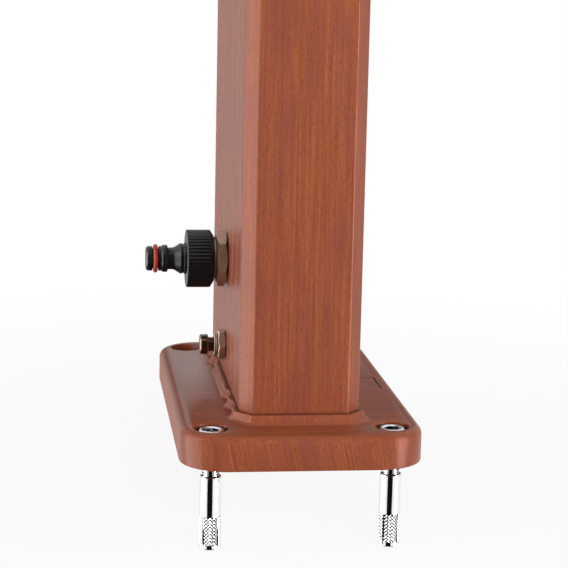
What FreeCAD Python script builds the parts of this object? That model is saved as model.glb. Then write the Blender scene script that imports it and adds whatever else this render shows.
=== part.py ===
# Outdoor solar shower post: a flat wood-effect column that is also the water tank, its bolted-down foot,
# the garden-hose inlet, the drain, a single-lever mixer and a tilting shower head on an arm.
#
# Frame: millimetres, +Z up, origin at the centre of the foot's underside, front of the column towards -Y,
# hose inlet and drain towards -X.
import FreeCAD, Part

import math
import os

import Sketcher

# ---------------------------------------------------------------------------------------------------------
# Driving dimensions. Each one becomes a cell of the sheet, and every piece is bound to those cells.
# ---------------------------------------------------------------------------------------------------------
SIZES = {
    # foot
    "foot_width": 138.0,
    "foot_length": 250.0,
    "foot_thickness": 20.0,
    "foot_corner_radius": 27.0,
    "foot_edge_radius": 5.0,
    "socket_depth": 12.0,
    "socket_gap": 0.3,
    # plinth that hugs the column on the foot
    "plinth_height": 5.5,
    "plinth_proud_top": 2.8,
    "plinth_proud_foot": 5.5,
    "plinth_notch_top": 0.7,
    "plinth_notch_foot": 1.2,
    "plinth_ramp": 5.0,
    "plinth_tooth_width": 6.0,
    "plinth_corner_block": 7.0,
    # flush seam engraved in the foot's right side
    "seam_width": 0.9,
    "seam_depth": 0.7,
    "seam_reach": 61.2,
    "seam_back": 12.5,
    "seam_front": -15.0,
    # anchors
    "anchor_inset_across": 17.75,
    "anchor_inset_along": 21.0,
    "anchor_hole_radius": 5.6,
    "anchor_recess_radius": 9.65,
    "anchor_recess_chamfer": 0.7,
    "front_head_sink": 0.8,
    "rear_head_sink": 6.5,
    "bolt_head_radius": 7.25,
    "bolt_head_height": 6.5,
    "bolt_head_chamfer": 0.8,
    "bolt_socket_flats": 8.0,
    "bolt_socket_depth": 4.0,
    "bolt_radius": 5.0,
    "bolt_length": 44.0,
    "thread_gap": 0.05,
    "sleeve_radius": 6.0,
    "sleeve_top_drop": 7.6,
    "sleeve_length": 42.0,
    "sleeve_rim": 0.5,
    "sleeve_slot_width": 1.1,
    "sleeve_slot_length": 19.0,
    "cone_length": 11.0,
    "cone_tip_radius": 3.4,
    "cone_recess": 1.0,
    # screws that hold the column to the foot
    "foot_screw_radius": 3.0,
    "foot_screw_head_radius": 5.0,
    "foot_screw_head_height": 5.5,
    "foot_screw_length": 18.0,
    "foot_screw_spacing_across": 36.0,
    "foot_screw_spacing_along": 140.0,
    "screw_sink": 0.5,
    "screw_gap": 0.4,
    # column
    "column_width": 69.0,
    "column_depth": 194.0,
    "column_height": 2100.0,
    "column_wall": 3.0,
    "corner_across": 7.5,
    "corner_along": 9.0,
    "rib_inner": 35.0,
    "rib_outer": 60.0,
    "rib_edge_inset": 2.5,
    "rib_width": 3.0,
    "rib_depth": 1.2,
    # end plugs and cap
    "plug_gap": 0.2,
    "plug_height": 25.0,
    "plug_floor": 15.0,
    "plug_wall": 6.0,
    "gasket_height": 3.0,
    "gasket_depth": 2.0,
    "gasket_gap": 0.05,
    "gasket_drop": 5.0,
    "cap_overhang": 1.5,
    "cap_thickness": 12.0,
    "cap_edge": 3.0,
    "cap_skirt": 25.0,
    "cap_screw_radius": 2.0,
    "cap_screw_head_radius": 3.8,
    "cap_screw_head_height": 2.2,
    "cap_screw_length": 9.0,
    "cap_screw_drop": 15.0,
    "cap_screw_spacing": 120.0,
    # hose inlet
    "inlet_height": 98.2,
    "wall_hole_gap": 0.3,
    "inlet_washer_thickness": 0.5,
    "inlet_washer_radius": 14.2,
    "inlet_hex_flats": 29.5,
    "inlet_hex_length": 6.4,
    "inlet_thread_radius": 13.2,
    "inlet_thread_length": 12.4,
    "inlet_tail_radius": 10.45,
    "inlet_tail_length": 18.0,
    "inlet_bore": 7.0,
    "lock_nut_flats": 27.0,
    "lock_nut_length": 6.0,
    # coupling nut and hose tail
    "coupling_radius": 17.45,
    "coupling_length": 16.6,
    "coupling_end_wall": 2.0,
    "coupling_taper": 2.2,
    "coupling_neck_radius": 13.5,
    "running_gap": 0.08,
    "flat_washer_thickness": 1.5,
    "tail_flange_thickness": 2.0,
    "tail_flange_radius": 12.6,
    "tail_barrel_radius": 9.4,
    "tail_ring_radius": 8.9,
    "tail_ring_start": 3.3,
    "tail_ring_length": 1.3,
    "tail_flare_start": 5.3,
    "tail_flare_end": 9.5,
    "tail_neck_radius": 6.65,
    "tail_rib_start": 15.2,
    "tail_rib_length": 3.7,
    "tail_rib_radius": 8.25,
    "tail_nose_radius": 7.45,
    "tail_groove_start": 20.7,
    "tail_groove_length": 3.6,
    "tail_groove_radius": 5.9,
    "tail_length": 28.3,
    "tail_tip_chamfer": 1.0,
    "tail_bore": 4.6,
    "ring_wire_radius": 1.38,
    # riser tee with the non-return valve
    "tee_barrel_radius": 12.0,
    "tee_bore": 9.0,
    "tee_foot": 16.0,
    "tee_top": 66.0,
    "tee_port_height": 44.0,
    "tee_port_radius": 4.5,
    "tee_plug_length": 7.0,
    "valve_seat_height": 15.0,
    "valve_seat_thickness": 4.0,
    "valve_seat_bore": 5.0,
    "valve_disc_radius": 6.5,
    "valve_disc_thickness": 2.5,
    "valve_stem_radius": 1.6,
    "valve_stem_length": 16.0,
    "valve_guide_gap": 14.0,
    "valve_guide_thickness": 2.0,
    "valve_flow_radius": 1.9,
    "valve_flow_ring": 5.3,
    "spring_radius": 3.6,
    "spring_wire_radius": 0.4,
    "spring_turns": 5.0,
    # drain
    "drain_height": 45.0,
    "drain_washer_radius": 8.2,
    "drain_hex_flats": 16.6,
    "drain_hex_length": 4.2,
    "drain_collar_radius": 6.6,
    "drain_collar_length": 2.4,
    "drain_tail_radius": 6.5,
    "drain_tail_length": 12.0,
    "drain_nut_flats": 19.0,
    "drain_nut_length": 5.0,
    "drain_screw_radius": 4.35,
    "drain_neck_length": 3.6,
    "drain_knob_radius": 6.1,
    "drain_knob_length": 5.0,
    "drain_screw_reach": 9.0,
    "drain_screw_tip_gap": 0.7,
    "drain_outlet_radius": 2.2,
    # pipes inside the column
    "pipe_radius": 7.5,
    "pipe_bore": 6.5,
    "pipe_bend": 40.0,
    "pipe_socket_depth": 12.0,
    "pipe_socket_radius": 10.5,
    "pipe_nut_flats": 26.0,
    "pipe_nut_length": 10.0,
    "pipe_nut_end_wall": 2.0,
    "cold_pipe_shift_height": 780.0,
    "hot_pipe_top_gap": 70.0,
    # mixer
    "mixer_height": 1050.0,
    "mixer_neck_radius": 15.5,
    "mixer_neck_reach": 9.0,
    "mixer_gasket_thickness": 1.0,
    "mixer_housing_radius": 21.0,
    "mixer_housing_length": 33.0,
    "mixer_floor": 9.0,
    "mixer_port_inset": 17.0,
    "mixer_port_reach": 34.0,
    "mixer_back_port_length": 13.0,
    "mixer_port_bore": 5.0,
    "rosette_radius": 26.0,
    "rosette_thickness": 5.5,
    "rosette_edge": 2.0,
    "cartridge_radius": 13.0,
    "cartridge_wall": 1.5,
    "cartridge_floor": 3.0,
    "cartridge_window": 3.4,
    "cartridge_nut_length": 6.0,
    "disc_thickness": 6.0,
    "disc_hole_radius": 3.0,
    "carrier_thickness": 8.0,
    "carrier_spigot_radius": 8.9,
    "carrier_spigot_overhang": 4.0,
    "carrier_slot_width": 5.5,
    "carrier_slot_above": 5.0,
    "carrier_slot_below": 7.9,
    "shroud_radius": 18.0,
    "shroud_reach": 20.0,
    "lever_pivot_reach": 15.0,
    "lever_pin_radius": 1.5,
    "lever_pin_length": 16.0,
    "stem_radius": 2.5,
    "stem_eye_radius": 4.5,
    "stem_inner_length": 12.0,
    "stem_outer_length": 14.0,
    "stem_thread_depth": 7.0,
    "lever_ball_radius": 23.5,
    "lever_ball_wall": 2.6,
    "lever_rim_inset": 2.0,
    "lever_front": 21.5,
    "lever_boss_radius": 6.5,
    "lever_boss_start": 8.5,
    "lever_width": 13.0,
    "lever_thickness": 6.0,
    "lever_length": 84.0,
    "lever_edge_radius": 1.2,
    "lever_screw_radius": 1.5,
    "lever_screw_head_radius": 2.8,
    "lever_screw_head_height": 2.0,
    "lever_screw_length": 10.0,
    "index_radius": 4.5,
    "index_thickness": 1.6,
    # shower arm and head
    "arm_below_top": 68.0,
    "arm_reach": 205.0,
    "arm_drop": 75.0,
    "arm_radius": 11.0,
    "arm_bend": 45.0,
    "arm_rosette_radius": 26.0,
    "arm_rosette_thickness": 7.0,
    "elbow_neck_radius": 9.8,
    "elbow_neck_reach": 12.0,
    "elbow_bore": 7.0,
    "elbow_body_radius": 13.0,
    "elbow_body_length": 30.0,
    "elbow_flange_radius": 17.0,
    "elbow_flange_thickness": 3.0,
    "elbow_drop": 28.0,
    "ball_drop": 26.0,
    "stud_plug_length": 12.0,
    "stud_collar_radius": 12.0,
    "stud_collar_length": 5.0,
    "stud_neck_radius": 5.0,
    "ball_radius": 10.0,
    "ball_bore": 3.0,
    "ball_gap": 0.3,
    "ball_nut_radius": 17.5,
    "ball_nut_mouth": 9.0,
    "ball_nut_above": 8.0,
    "ball_nut_below": 16.0,
    "ball_nut_edge": 1.5,
    "ball_seat_top": 4.0,
    "ball_seat_foot": 12.0,
    "head_boss_radius": 13.1,
    "head_boss_length": 18.0,
    "head_bore": 5.0,
    "head_radius": 75.0,
    "head_shoulder_radius": 60.0,
    "head_shoulder_drop": 6.0,
    "head_crown_height": 9.0,
    "head_rim_height": 8.0,
    "head_wall": 2.5,
    "plate_thickness": 3.0,
    "nozzle_spacing": 12.5,
    "nozzle_radius": 1.6,
    "nozzle_length": 2.5,
    "nozzle_bore": 0.6,
}

CORNER_SHARE = math.tan(math.pi / 8)    # how far a 45-degree corner shifts when an outline grows by 1
HEX_CORNER = 1 / math.cos(math.pi / 6)  # corner radius of a hexagon whose flats are 1 from its centre
HALF = 0.5
FULL_TURN = 360.0
NOZZLE_RINGS = 5
NOZZLE_SPOKES = 12


class Size:
    """A number that remembers the formula of sheet cells it was worked out with."""

    def __init__(self, number, formula):
        self.number = float(number)
        self.formula = formula

    def __add__(self, other):
        other = as_size(other)
        return Size(self.number + other.number, f"({self.formula} + {other.formula})")

    def __sub__(self, other):
        other = as_size(other)
        return Size(self.number - other.number, f"({self.formula} - {other.formula})")

    def __mul__(self, factor):
        factor = as_size(factor)
        return Size(self.number * factor.number, f"({self.formula} * {factor.formula})")

    def __truediv__(self, divisor):
        divisor = as_size(divisor)
        return Size(self.number / divisor.number, f"({self.formula} / {divisor.formula})")

    def __neg__(self):
        return Size(-self.number, f"(0 - {self.formula})")

    def __radd__(self, other):
        return as_size(other) + self

    def __rsub__(self, other):
        return as_size(other) - self

    def __rmul__(self, factor):
        return self * factor


def as_size(value):
    """A Size as it is, or a plain number as a Size with itself as the formula."""
    if isinstance(value, Size):
        return value
    return Size(value, f"({float(value):.9f})")


doc = FreeCAD.newDocument("outdoor_shower_post")
sheet = doc.addObject("Spreadsheet::Sheet", "dims")


class Cells:
    """Every driving dimension, by name."""


D = Cells()
for row, (name, value) in enumerate(SIZES.items(), start=1):
    sheet.set(f"A{row}", name)
    sheet.set(f"B{row}", str(value))
    sheet.setAlias(f"B{row}", name)
    setattr(D, name, Size(value, f"dims.{name}"))
doc.recompute()

PARTS = []


# ---------------------------------------------------------------------------------------------------------
# Helpers: bodies, sketches and features bound to the sheet
# ---------------------------------------------------------------------------------------------------------
def bind(item, path, value):
    """Ties one property of an object to the sheet."""
    item.setExpression(path, as_size(value).formula)


def new_body(label, x=0, y=0, z=0):
    """A sub-part's body, placed by three sizes."""
    body = doc.addObject("PartDesign::Body", label)
    body.Label = label
    bind(body, "Placement.Base.x", x)
    bind(body, "Placement.Base.y", y)
    bind(body, "Placement.Base.z", z)
    PARTS.append(body)
    return body


def plane_of(body, role):
    """One of the body's own origin planes."""
    return next(item for item in body.Origin.OriginFeatures if item.Role == role)


def pin_point(sketch, shape, corner, x, y):
    """Fixes a point of a sketch at a distance from the sketch's origin."""
    for kind, value in (("DistanceX", as_size(x)), ("DistanceY", as_size(y))):
        index = sketch.addConstraint(Sketcher.Constraint(kind, -1, 1, shape, corner, value.number))
        sketch.setExpression(f"Constraints[{index}]", value.formula)


def draw_polygon(sketch, corners):
    """Adds a closed outline through the given (x, y) corners."""
    first = sketch.GeometryCount
    count = len(corners)
    points = [FreeCAD.Vector(as_size(x).number, as_size(y).number, 0) for x, y in corners]
    for index in range(count):
        line = Part.LineSegment(points[index], points[(index + 1) % count])
        sketch.addGeometry(line, False)
    for index in range(count):
        following = first + (index + 1) % count
        sketch.addConstraint(Sketcher.Constraint("Coincident", first + index, 2, following, 1))
    for index, (x, y) in enumerate(corners):
        pin_point(sketch, first + index, 1, x, y)


def draw_circle(sketch, x, y, radius):
    """Adds a circle with a bound centre and radius."""
    radius = as_size(radius)
    centre = FreeCAD.Vector(as_size(x).number, as_size(y).number, 0)
    shape = sketch.addGeometry(Part.Circle(centre, FreeCAD.Vector(0, 0, 1), radius.number), False)
    pin_point(sketch, shape, 3, x, y)
    index = sketch.addConstraint(Sketcher.Constraint("Radius", shape, radius.number))
    sketch.setExpression(f"Constraints[{index}]", radius.formula)


def new_sketch(body, role, polygons=(), circles=(), lift=0):
    """A sketch on one of the body's planes, moved along the plane's normal by lift."""
    sketch = body.newObject("Sketcher::SketchObject", f"{body.Name}_sketch")
    sketch.AttachmentSupport = [(plane_of(body, role), "")]
    sketch.MapMode = "FlatFace"
    bind(sketch, "AttachmentOffset.Base.z", lift)
    for corners in polygons:
        draw_polygon(sketch, corners)
    for x, y, radius in circles:
        draw_circle(sketch, x, y, radius)
    return sketch


def add_pad(body, sketch, length, backwards=False):
    """Extrudes a sketch along its normal, or the other way."""
    pad = body.newObject("PartDesign::Pad", f"{body.Name}_pad")
    pad.Profile = sketch
    bind(pad, "Length", length)
    pad.Reversed = backwards
    return pad


def add_pocket(body, sketch, length, backwards=False):
    """Cuts a sketch into the body against its normal, or along it; the cut has to remove something."""
    doc.recompute()
    before = body.Shape.Volume
    pocket = body.newObject("PartDesign::Pocket", f"{body.Name}_pocket")
    pocket.Profile = sketch
    bind(pocket, "Length", length)
    pocket.Reversed = backwards
    doc.recompute()
    if body.Shape.Volume >= before:
        raise RuntimeError(f"{body.Label}: a pocket cuts nothing")
    return pocket


def add_turn(body, sketch, axis, cut=False):
    """Revolves a sketch once around its H_Axis or V_Axis, as added or as removed material."""
    kind = "PartDesign::Groove" if cut else "PartDesign::Revolution"
    turn = body.newObject(kind, f"{body.Name}_turn")
    turn.Profile = sketch
    turn.ReferenceAxis = (sketch, [axis])
    turn.Angle = FULL_TURN
    return turn


def edge_names(shape, wanted):
    """Names of the edges that pass a test."""
    return [f"Edge{number}" for number, edge in enumerate(shape.Edges, start=1) if wanted(edge)]


def round_edges(body, wanted, radius):
    """Rounds the edges of the body's last feature that pass a test."""
    doc.recompute()
    base = body.Tip
    fillet = body.newObject("PartDesign::Fillet", f"{body.Name}_fillet")
    fillet.Base = (base, edge_names(base.Shape, wanted))
    bind(fillet, "Radius", radius)
    return fillet


def bevel_edges(body, wanted, width):
    """Chamfers the edges of the body's last feature that pass a test."""
    doc.recompute()
    base = body.Tip
    chamfer = body.newObject("PartDesign::Chamfer", f"{body.Name}_chamfer")
    chamfer.Base = (base, edge_names(base.Shape, wanted))
    bind(chamfer, "Size", width)
    return chamfer


# a turned piece's sketch plane, the axis it turns about, and how (along, radius) lies in the sketch
LATHES = {
    "X": ("XY_Plane", "H_Axis", lambda along, radius: (along, radius)),
    "Y": ("XY_Plane", "V_Axis", lambda along, radius: (radius, along)),
    "Z": ("XZ_Plane", "V_Axis", lambda along, radius: (radius, along)),
}


def turn_profile(body, axis, profile, cut=False):
    """Turns a closed (along, radius) profile about an axis of the body."""
    role, sketch_axis, order = LATHES[axis]
    sketch = new_sketch(body, role, polygons=[[order(along, radius) for along, radius in profile]])
    return add_turn(body, sketch, sketch_axis, cut)


def tube_profile(start, end, outer, inner=0):
    """The (along, radius) rectangle of a plain ring or rod."""
    return [(start, inner), (end, inner), (end, outer), (start, outer)]


def hexagon(flats, x=0, y=0, turn=0.0):
    """The corners of a hexagon of a given width across flats, turned by an angle in degrees."""
    reach = flats * (HALF * HEX_CORNER)
    angles = [math.radians(turn + 60 * step) for step in range(6)]
    return [(x + reach * math.cos(angle), y + reach * math.sin(angle)) for angle in angles]


def around(quadrant):
    """Mirrors a quadrant's corners, listed from +X to +Y, into a whole closed outline."""
    second = [(-x, y) for x, y in reversed(quadrant)]
    third = [(-x, -y) for x, y in quadrant]
    fourth = [(x, -y) for x, y in reversed(quadrant)]
    return list(quadrant) + second + third + fourth


def four_points(across, along):
    """The corners of a rectangle of hole centres."""
    return [(side * across * HALF, end * along * HALF) for side in (-1, 1) for end in (-1, 1)]


# ---------------------------------------------------------------------------------------------------------
# Shared places and outlines
# ---------------------------------------------------------------------------------------------------------
half_width = D.column_width * HALF
half_depth = D.column_depth * HALF
column_foot = D.foot_thickness - D.socket_depth
column_top = column_foot + D.column_height
arm_height = column_top - D.arm_below_top
left_wall = -half_width
left_wall_inside = left_wall + D.column_wall
front_wall = -half_depth
front_wall_inside = front_wall + D.column_wall
plinth_top = D.foot_thickness + D.plinth_height
edge_rib = half_depth - D.corner_along - D.rib_edge_inset


def plain_quadrant(grow):
    """A quarter of the column's outline without its grooves, grown by a distance."""
    return [
        (half_width + grow, half_depth - D.corner_along + grow * CORNER_SHARE),
        (half_width - D.corner_across + grow * CORNER_SHARE, half_depth + grow),
    ]


def groove_corners(at, width, depth):
    """The three corners of one V groove in the column's side."""
    half_groove = width * HALF
    return [(half_width, at - half_groove), (half_width - depth, at), (half_width, at + half_groove)]


def column_quadrant():
    """A quarter of the column's outline, with the V grooves that run up its sides."""
    corners = []
    for at in (D.rib_inner, D.rib_outer, edge_rib):
        corners += groove_corners(at, D.rib_width, D.rib_depth)
    return corners + plain_quadrant(0)


def inside_quadrant(grow):
    """A quarter of the column's hollow, shrunk or grown by a distance."""
    return plain_quadrant(grow - D.column_wall)


def plinth_quadrant(proud, notch):
    """A quarter of the plinth: a long middle block, one tooth and a corner block, with notches between."""
    block = half_width + proud
    floor = half_width + notch
    tooth_back = D.rib_outer - D.plinth_tooth_width
    corner_back = half_depth - D.corner_along - D.plinth_corner_block
    return [
        (block, D.rib_inner),
        (floor, D.rib_inner + D.plinth_ramp),
        (floor, tooth_back - D.plinth_ramp),
        (block, tooth_back),
        (block, D.rib_outer),
        (floor, D.rib_outer + D.plinth_ramp),
        (floor, corner_back - D.plinth_ramp),
        (block, corner_back),
        (block, half_depth - D.corner_along + proud * CORNER_SHARE),
        (half_width - D.corner_across + proud * CORNER_SHARE, half_depth + proud),
    ]


anchor_points = four_points(
    D.foot_width - 2 * D.anchor_inset_across, D.foot_length - 2 * D.anchor_inset_along)
front_anchors = [point for point in anchor_points if point[1].number < 0]
rear_anchors = [point for point in anchor_points if point[1].number > 0]
foot_screw_points = four_points(D.foot_screw_spacing_across, D.foot_screw_spacing_along)


def circles_at(points, radius):
    """The same circle at several points."""
    return [(x, y, radius) for x, y in points]


# ---------------------------------------------------------------------------------------------------------
# Foot, plinth and anchors
# ---------------------------------------------------------------------------------------------------------
def make_foot():
    """The moulded foot with its plinth, the column's socket and the counterbored holes."""
    foot = new_body("foot_plate")
    half_foot = (D.foot_width * HALF, D.foot_length * HALF)
    rectangle = [(-half_foot[0], -half_foot[1]), (half_foot[0], -half_foot[1]),
                 (half_foot[0], half_foot[1]), (-half_foot[0], half_foot[1])]
    add_pad(foot, new_sketch(foot, "XY_Plane", polygons=[rectangle]), D.foot_thickness)
    thickness = D.foot_thickness.number
    round_edges(foot, lambda edge: edge.BoundBox.ZLength > thickness * 0.9, D.foot_corner_radius)
    round_edges(foot, lambda edge: edge.BoundBox.ZMin > thickness * 0.99, D.foot_edge_radius)

    plinth = foot.newObject("PartDesign::AdditiveLoft", "plinth")
    plinth.Profile = new_sketch(
        foot, "XY_Plane", polygons=[around(plinth_quadrant(D.plinth_proud_foot, D.plinth_notch_foot))],
        lift=D.foot_thickness)
    plinth.Sections = [new_sketch(
        foot, "XY_Plane", polygons=[around(plinth_quadrant(D.plinth_proud_top, D.plinth_notch_top))],
        lift=plinth_top)]
    plinth.Ruled = True

    socket = new_sketch(foot, "XY_Plane", polygons=[around(plain_quadrant(D.socket_gap))], lift=plinth_top)
    add_pocket(foot, socket, D.plinth_height + D.socket_depth)
    holes = new_sketch(foot, "XY_Plane", circles=circles_at(anchor_points, D.anchor_hole_radius),
                       lift=D.foot_thickness)
    add_pocket(foot, holes, D.foot_thickness)
    for points, sink in ((front_anchors, D.front_head_sink), (rear_anchors, D.rear_head_sink)):
        recess = new_sketch(foot, "XY_Plane", circles=circles_at(points, D.anchor_recess_radius),
                            lift=D.foot_thickness)
        add_pocket(foot, recess, sink + D.bolt_head_height)
    recess_radius = D.anchor_recess_radius.number
    bevel_edges(
        foot,
        lambda edge: edge.BoundBox.ZMin > thickness - 0.01 and edge.BoundBox.ZLength < 0.01
        and abs(edge.BoundBox.XLength - 2 * recess_radius) < 0.01,
        D.anchor_recess_chamfer)
    screw_holes = new_sketch(
        foot, "XY_Plane", circles=circles_at(foot_screw_points, D.foot_screw_radius + D.screw_gap))
    add_pocket(foot, screw_holes, column_foot, backwards=True)
    head_holes = new_sketch(
        foot, "XY_Plane", circles=circles_at(foot_screw_points, D.foot_screw_head_radius + D.screw_gap))
    add_pocket(foot, head_holes, D.screw_sink + D.foot_screw_head_height, backwards=True)

    seam_inner = half_width + D.plinth_proud_foot
    seam = [
        (seam_inner, D.seam_back),
        (D.seam_reach - D.seam_width, D.seam_back),
        (D.seam_reach - D.seam_width, D.seam_front),
        (D.seam_reach, D.seam_front),
        (D.seam_reach, D.seam_back + D.seam_width),
        (seam_inner, D.seam_back + D.seam_width),
    ]
    add_pocket(foot, new_sketch(foot, "XY_Plane", polygons=[seam], lift=D.foot_thickness), D.seam_depth)


def make_anchors():
    """Four bolts, the split expansion sleeves they screw into, and the sleeves' cones."""
    bolts = new_body("anchor_bolts")
    sleeves = new_body("anchor_sleeves")
    cones = new_body("anchor_cones")
    for points, sink in ((front_anchors, D.front_head_sink), (rear_anchors, D.rear_head_sink)):
        head_top = D.foot_thickness - sink
        seat = head_top - D.bolt_head_height
        add_pad(bolts, new_sketch(bolts, "XY_Plane", circles=circles_at(points, D.bolt_head_radius), lift=seat),
                D.bolt_head_height)
        add_pad(bolts, new_sketch(bolts, "XY_Plane", circles=circles_at(points, D.bolt_radius), lift=seat),
                D.bolt_length, backwards=True)
        sockets = [hexagon(D.bolt_socket_flats, x, y) for x, y in points]
        add_pocket(bolts, new_sketch(bolts, "XY_Plane", polygons=sockets, lift=head_top), D.bolt_socket_depth)
    head_diameter = 2 * D.bolt_head_radius.number
    seats = [(D.foot_thickness - sink - D.bolt_head_height).number
             for sink in (D.front_head_sink, D.rear_head_sink)]
    bevel_edges(
        bolts,
        lambda edge: abs(edge.BoundBox.XLength - head_diameter) < 0.01 and edge.BoundBox.ZLength < 0.01
        and min(abs(edge.BoundBox.ZMin - seat) for seat in seats) > 1,
        D.bolt_head_chamfer)

    sleeve_top = -D.sleeve_top_drop
    sleeve_foot = sleeve_top - D.sleeve_length
    bore = D.bolt_radius + D.thread_gap
    add_pad(sleeves, new_sketch(sleeves, "XY_Plane", circles=circles_at(anchor_points, D.sleeve_radius),
                                lift=sleeve_top), D.sleeve_length, backwards=True)
    add_pocket(sleeves, new_sketch(sleeves, "XY_Plane", circles=circles_at(anchor_points, bore),
                                   lift=sleeve_top), D.sleeve_length)
    slot_reach = D.sleeve_radius * 2
    slots = []
    for x, y in anchor_points:
        for turn in (45, 135):
            slots.append(bar_corners(x, y, slot_reach, D.sleeve_slot_width, turn))
    for group in (slots[0::2], slots[1::2]):
        add_pocket(sleeves, new_sketch(sleeves, "XY_Plane", polygons=group, lift=sleeve_foot),
                   D.sleeve_slot_length, backwards=True)

    cone_foot = sleeve_foot + D.cone_recess
    for x, y in anchor_points:
        add_cone(cones, x, y, cone_foot, D.bolt_radius - D.thread_gap, D.cone_tip_radius, D.cone_length)


def bar_corners(x, y, length, width, turn):
    """The corners of a bar centred on a point and turned by an angle in degrees."""
    along = (math.cos(math.radians(turn)), math.sin(math.radians(turn)))
    corners = []
    for end, side in ((-1, -1), (1, -1), (1, 1), (-1, 1)):
        forward = length * (HALF * end)
        sideways = width * (HALF * side)
        corners.append((x + forward * along[0] - sideways * along[1],
                        y + forward * along[1] + sideways * along[0]))
    return corners


def add_cone(body, x, y, z, foot_radius, top_radius, height):
    """Adds a tapered plug to a body, standing on a point."""
    loft = body.newObject("PartDesign::AdditiveLoft", f"{body.Name}_loft")
    loft.Profile = new_sketch(body, "XY_Plane", circles=[(x, y, foot_radius)], lift=z)
    loft.Sections = [new_sketch(body, "XY_Plane", circles=[(x, y, top_radius)], lift=z + height)]


def make_foot_screws():
    """Four cap screws that pull the column's bottom plug down onto the foot."""
    screws = new_body("foot_screws")
    head_seat = D.screw_sink + D.foot_screw_head_height
    heads = circles_at(foot_screw_points, D.foot_screw_head_radius)
    shanks = circles_at(foot_screw_points, D.foot_screw_radius)
    add_pad(screws, new_sketch(screws, "XY_Plane", circles=heads, lift=D.screw_sink), D.foot_screw_head_height)
    add_pad(screws, new_sketch(screws, "XY_Plane", circles=shanks, lift=head_seat), D.foot_screw_length)
    sockets = [hexagon(D.foot_screw_head_radius, x, y) for x, y in foot_screw_points]
    add_pocket(screws, new_sketch(screws, "XY_Plane", polygons=sockets, lift=D.screw_sink),
               D.foot_screw_head_height * HALF, backwards=True)


# ---------------------------------------------------------------------------------------------------------
# Column, plugs and cap
# ---------------------------------------------------------------------------------------------------------
def make_column():
    """The extruded column, hollow to hold the water, with the holes for its fittings."""
    column = new_body("column", z=column_foot)
    outlines = [around(column_quadrant()), around(inside_quadrant(0))]
    add_pad(column, new_sketch(column, "XY_Plane", polygons=outlines), D.column_height)
    inlet = (0, D.inlet_height - column_foot, D.inlet_tail_radius + D.wall_hole_gap)
    drain = (0, D.drain_height - column_foot, D.drain_tail_radius + D.wall_hole_gap)
    add_pocket(column, new_sketch(column, "YZ_Plane", circles=[inlet, drain]), D.column_width)
    mixer = (0, D.mixer_height - column_foot, D.mixer_neck_radius + D.wall_hole_gap)
    arm = (0, arm_height - column_foot, D.elbow_neck_radius + D.wall_hole_gap)
    add_pocket(column, new_sketch(column, "XZ_Plane", circles=[mixer, arm]), D.column_depth, backwards=True)
    screw_height = D.column_height - D.cap_screw_drop
    cap_screws = [(side * D.cap_screw_spacing * HALF, screw_height, D.cap_screw_radius + D.screw_gap)
                  for side in (-1, 1)]
    sides = new_sketch(column, "YZ_Plane", circles=cap_screws, lift=D.column_width)
    add_pocket(column, sides, D.column_width * 2)


def add_plug(body, foot, height, gasket_foot):
    """A plug that fills the column's hollow, with the groove for its gasket."""
    outline = around(inside_quadrant(-D.plug_gap))
    groove_floor = around(inside_quadrant(-D.plug_gap - D.gasket_depth))
    add_pad(body, new_sketch(body, "XY_Plane", polygons=[outline], lift=foot), height)
    ring = new_sketch(body, "XY_Plane", polygons=[outline, groove_floor], lift=gasket_foot)
    add_pocket(body, ring, D.gasket_height, backwards=True)


def make_gasket(label, foot):
    """The rubber ring in a plug's groove, which seals it against the column."""
    gasket = new_body(label)
    outer = around(inside_quadrant(-D.gasket_gap))
    inner = around(inside_quadrant(D.gasket_gap - D.plug_gap - D.gasket_depth))
    ring = new_sketch(gasket, "XY_Plane", polygons=[outer, inner], lift=foot + D.gasket_gap)
    add_pad(gasket, ring, D.gasket_height - D.gasket_gap * 2)


def make_bottom_plug():
    """The plug that closes the column's foot and takes the foot screws."""
    plug = new_body("bottom_plug")
    gasket_foot = column_foot + D.gasket_drop
    add_plug(plug, column_foot, D.plug_height, gasket_foot)
    hollow = around(inside_quadrant(-D.plug_gap - D.plug_wall))
    plug_top = column_foot + D.plug_height
    add_pocket(plug, new_sketch(plug, "XY_Plane", polygons=[hollow], lift=plug_top),
               D.plug_height - D.plug_floor)
    holes = circles_at(foot_screw_points, D.foot_screw_radius + D.thread_gap)
    screw_reach = D.screw_sink + D.foot_screw_head_height + D.foot_screw_length - column_foot
    add_pocket(plug, new_sketch(plug, "XY_Plane", circles=holes, lift=column_foot),
               screw_reach + D.screw_gap, backwards=True)
    make_gasket("bottom_plug_gasket", gasket_foot)


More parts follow.
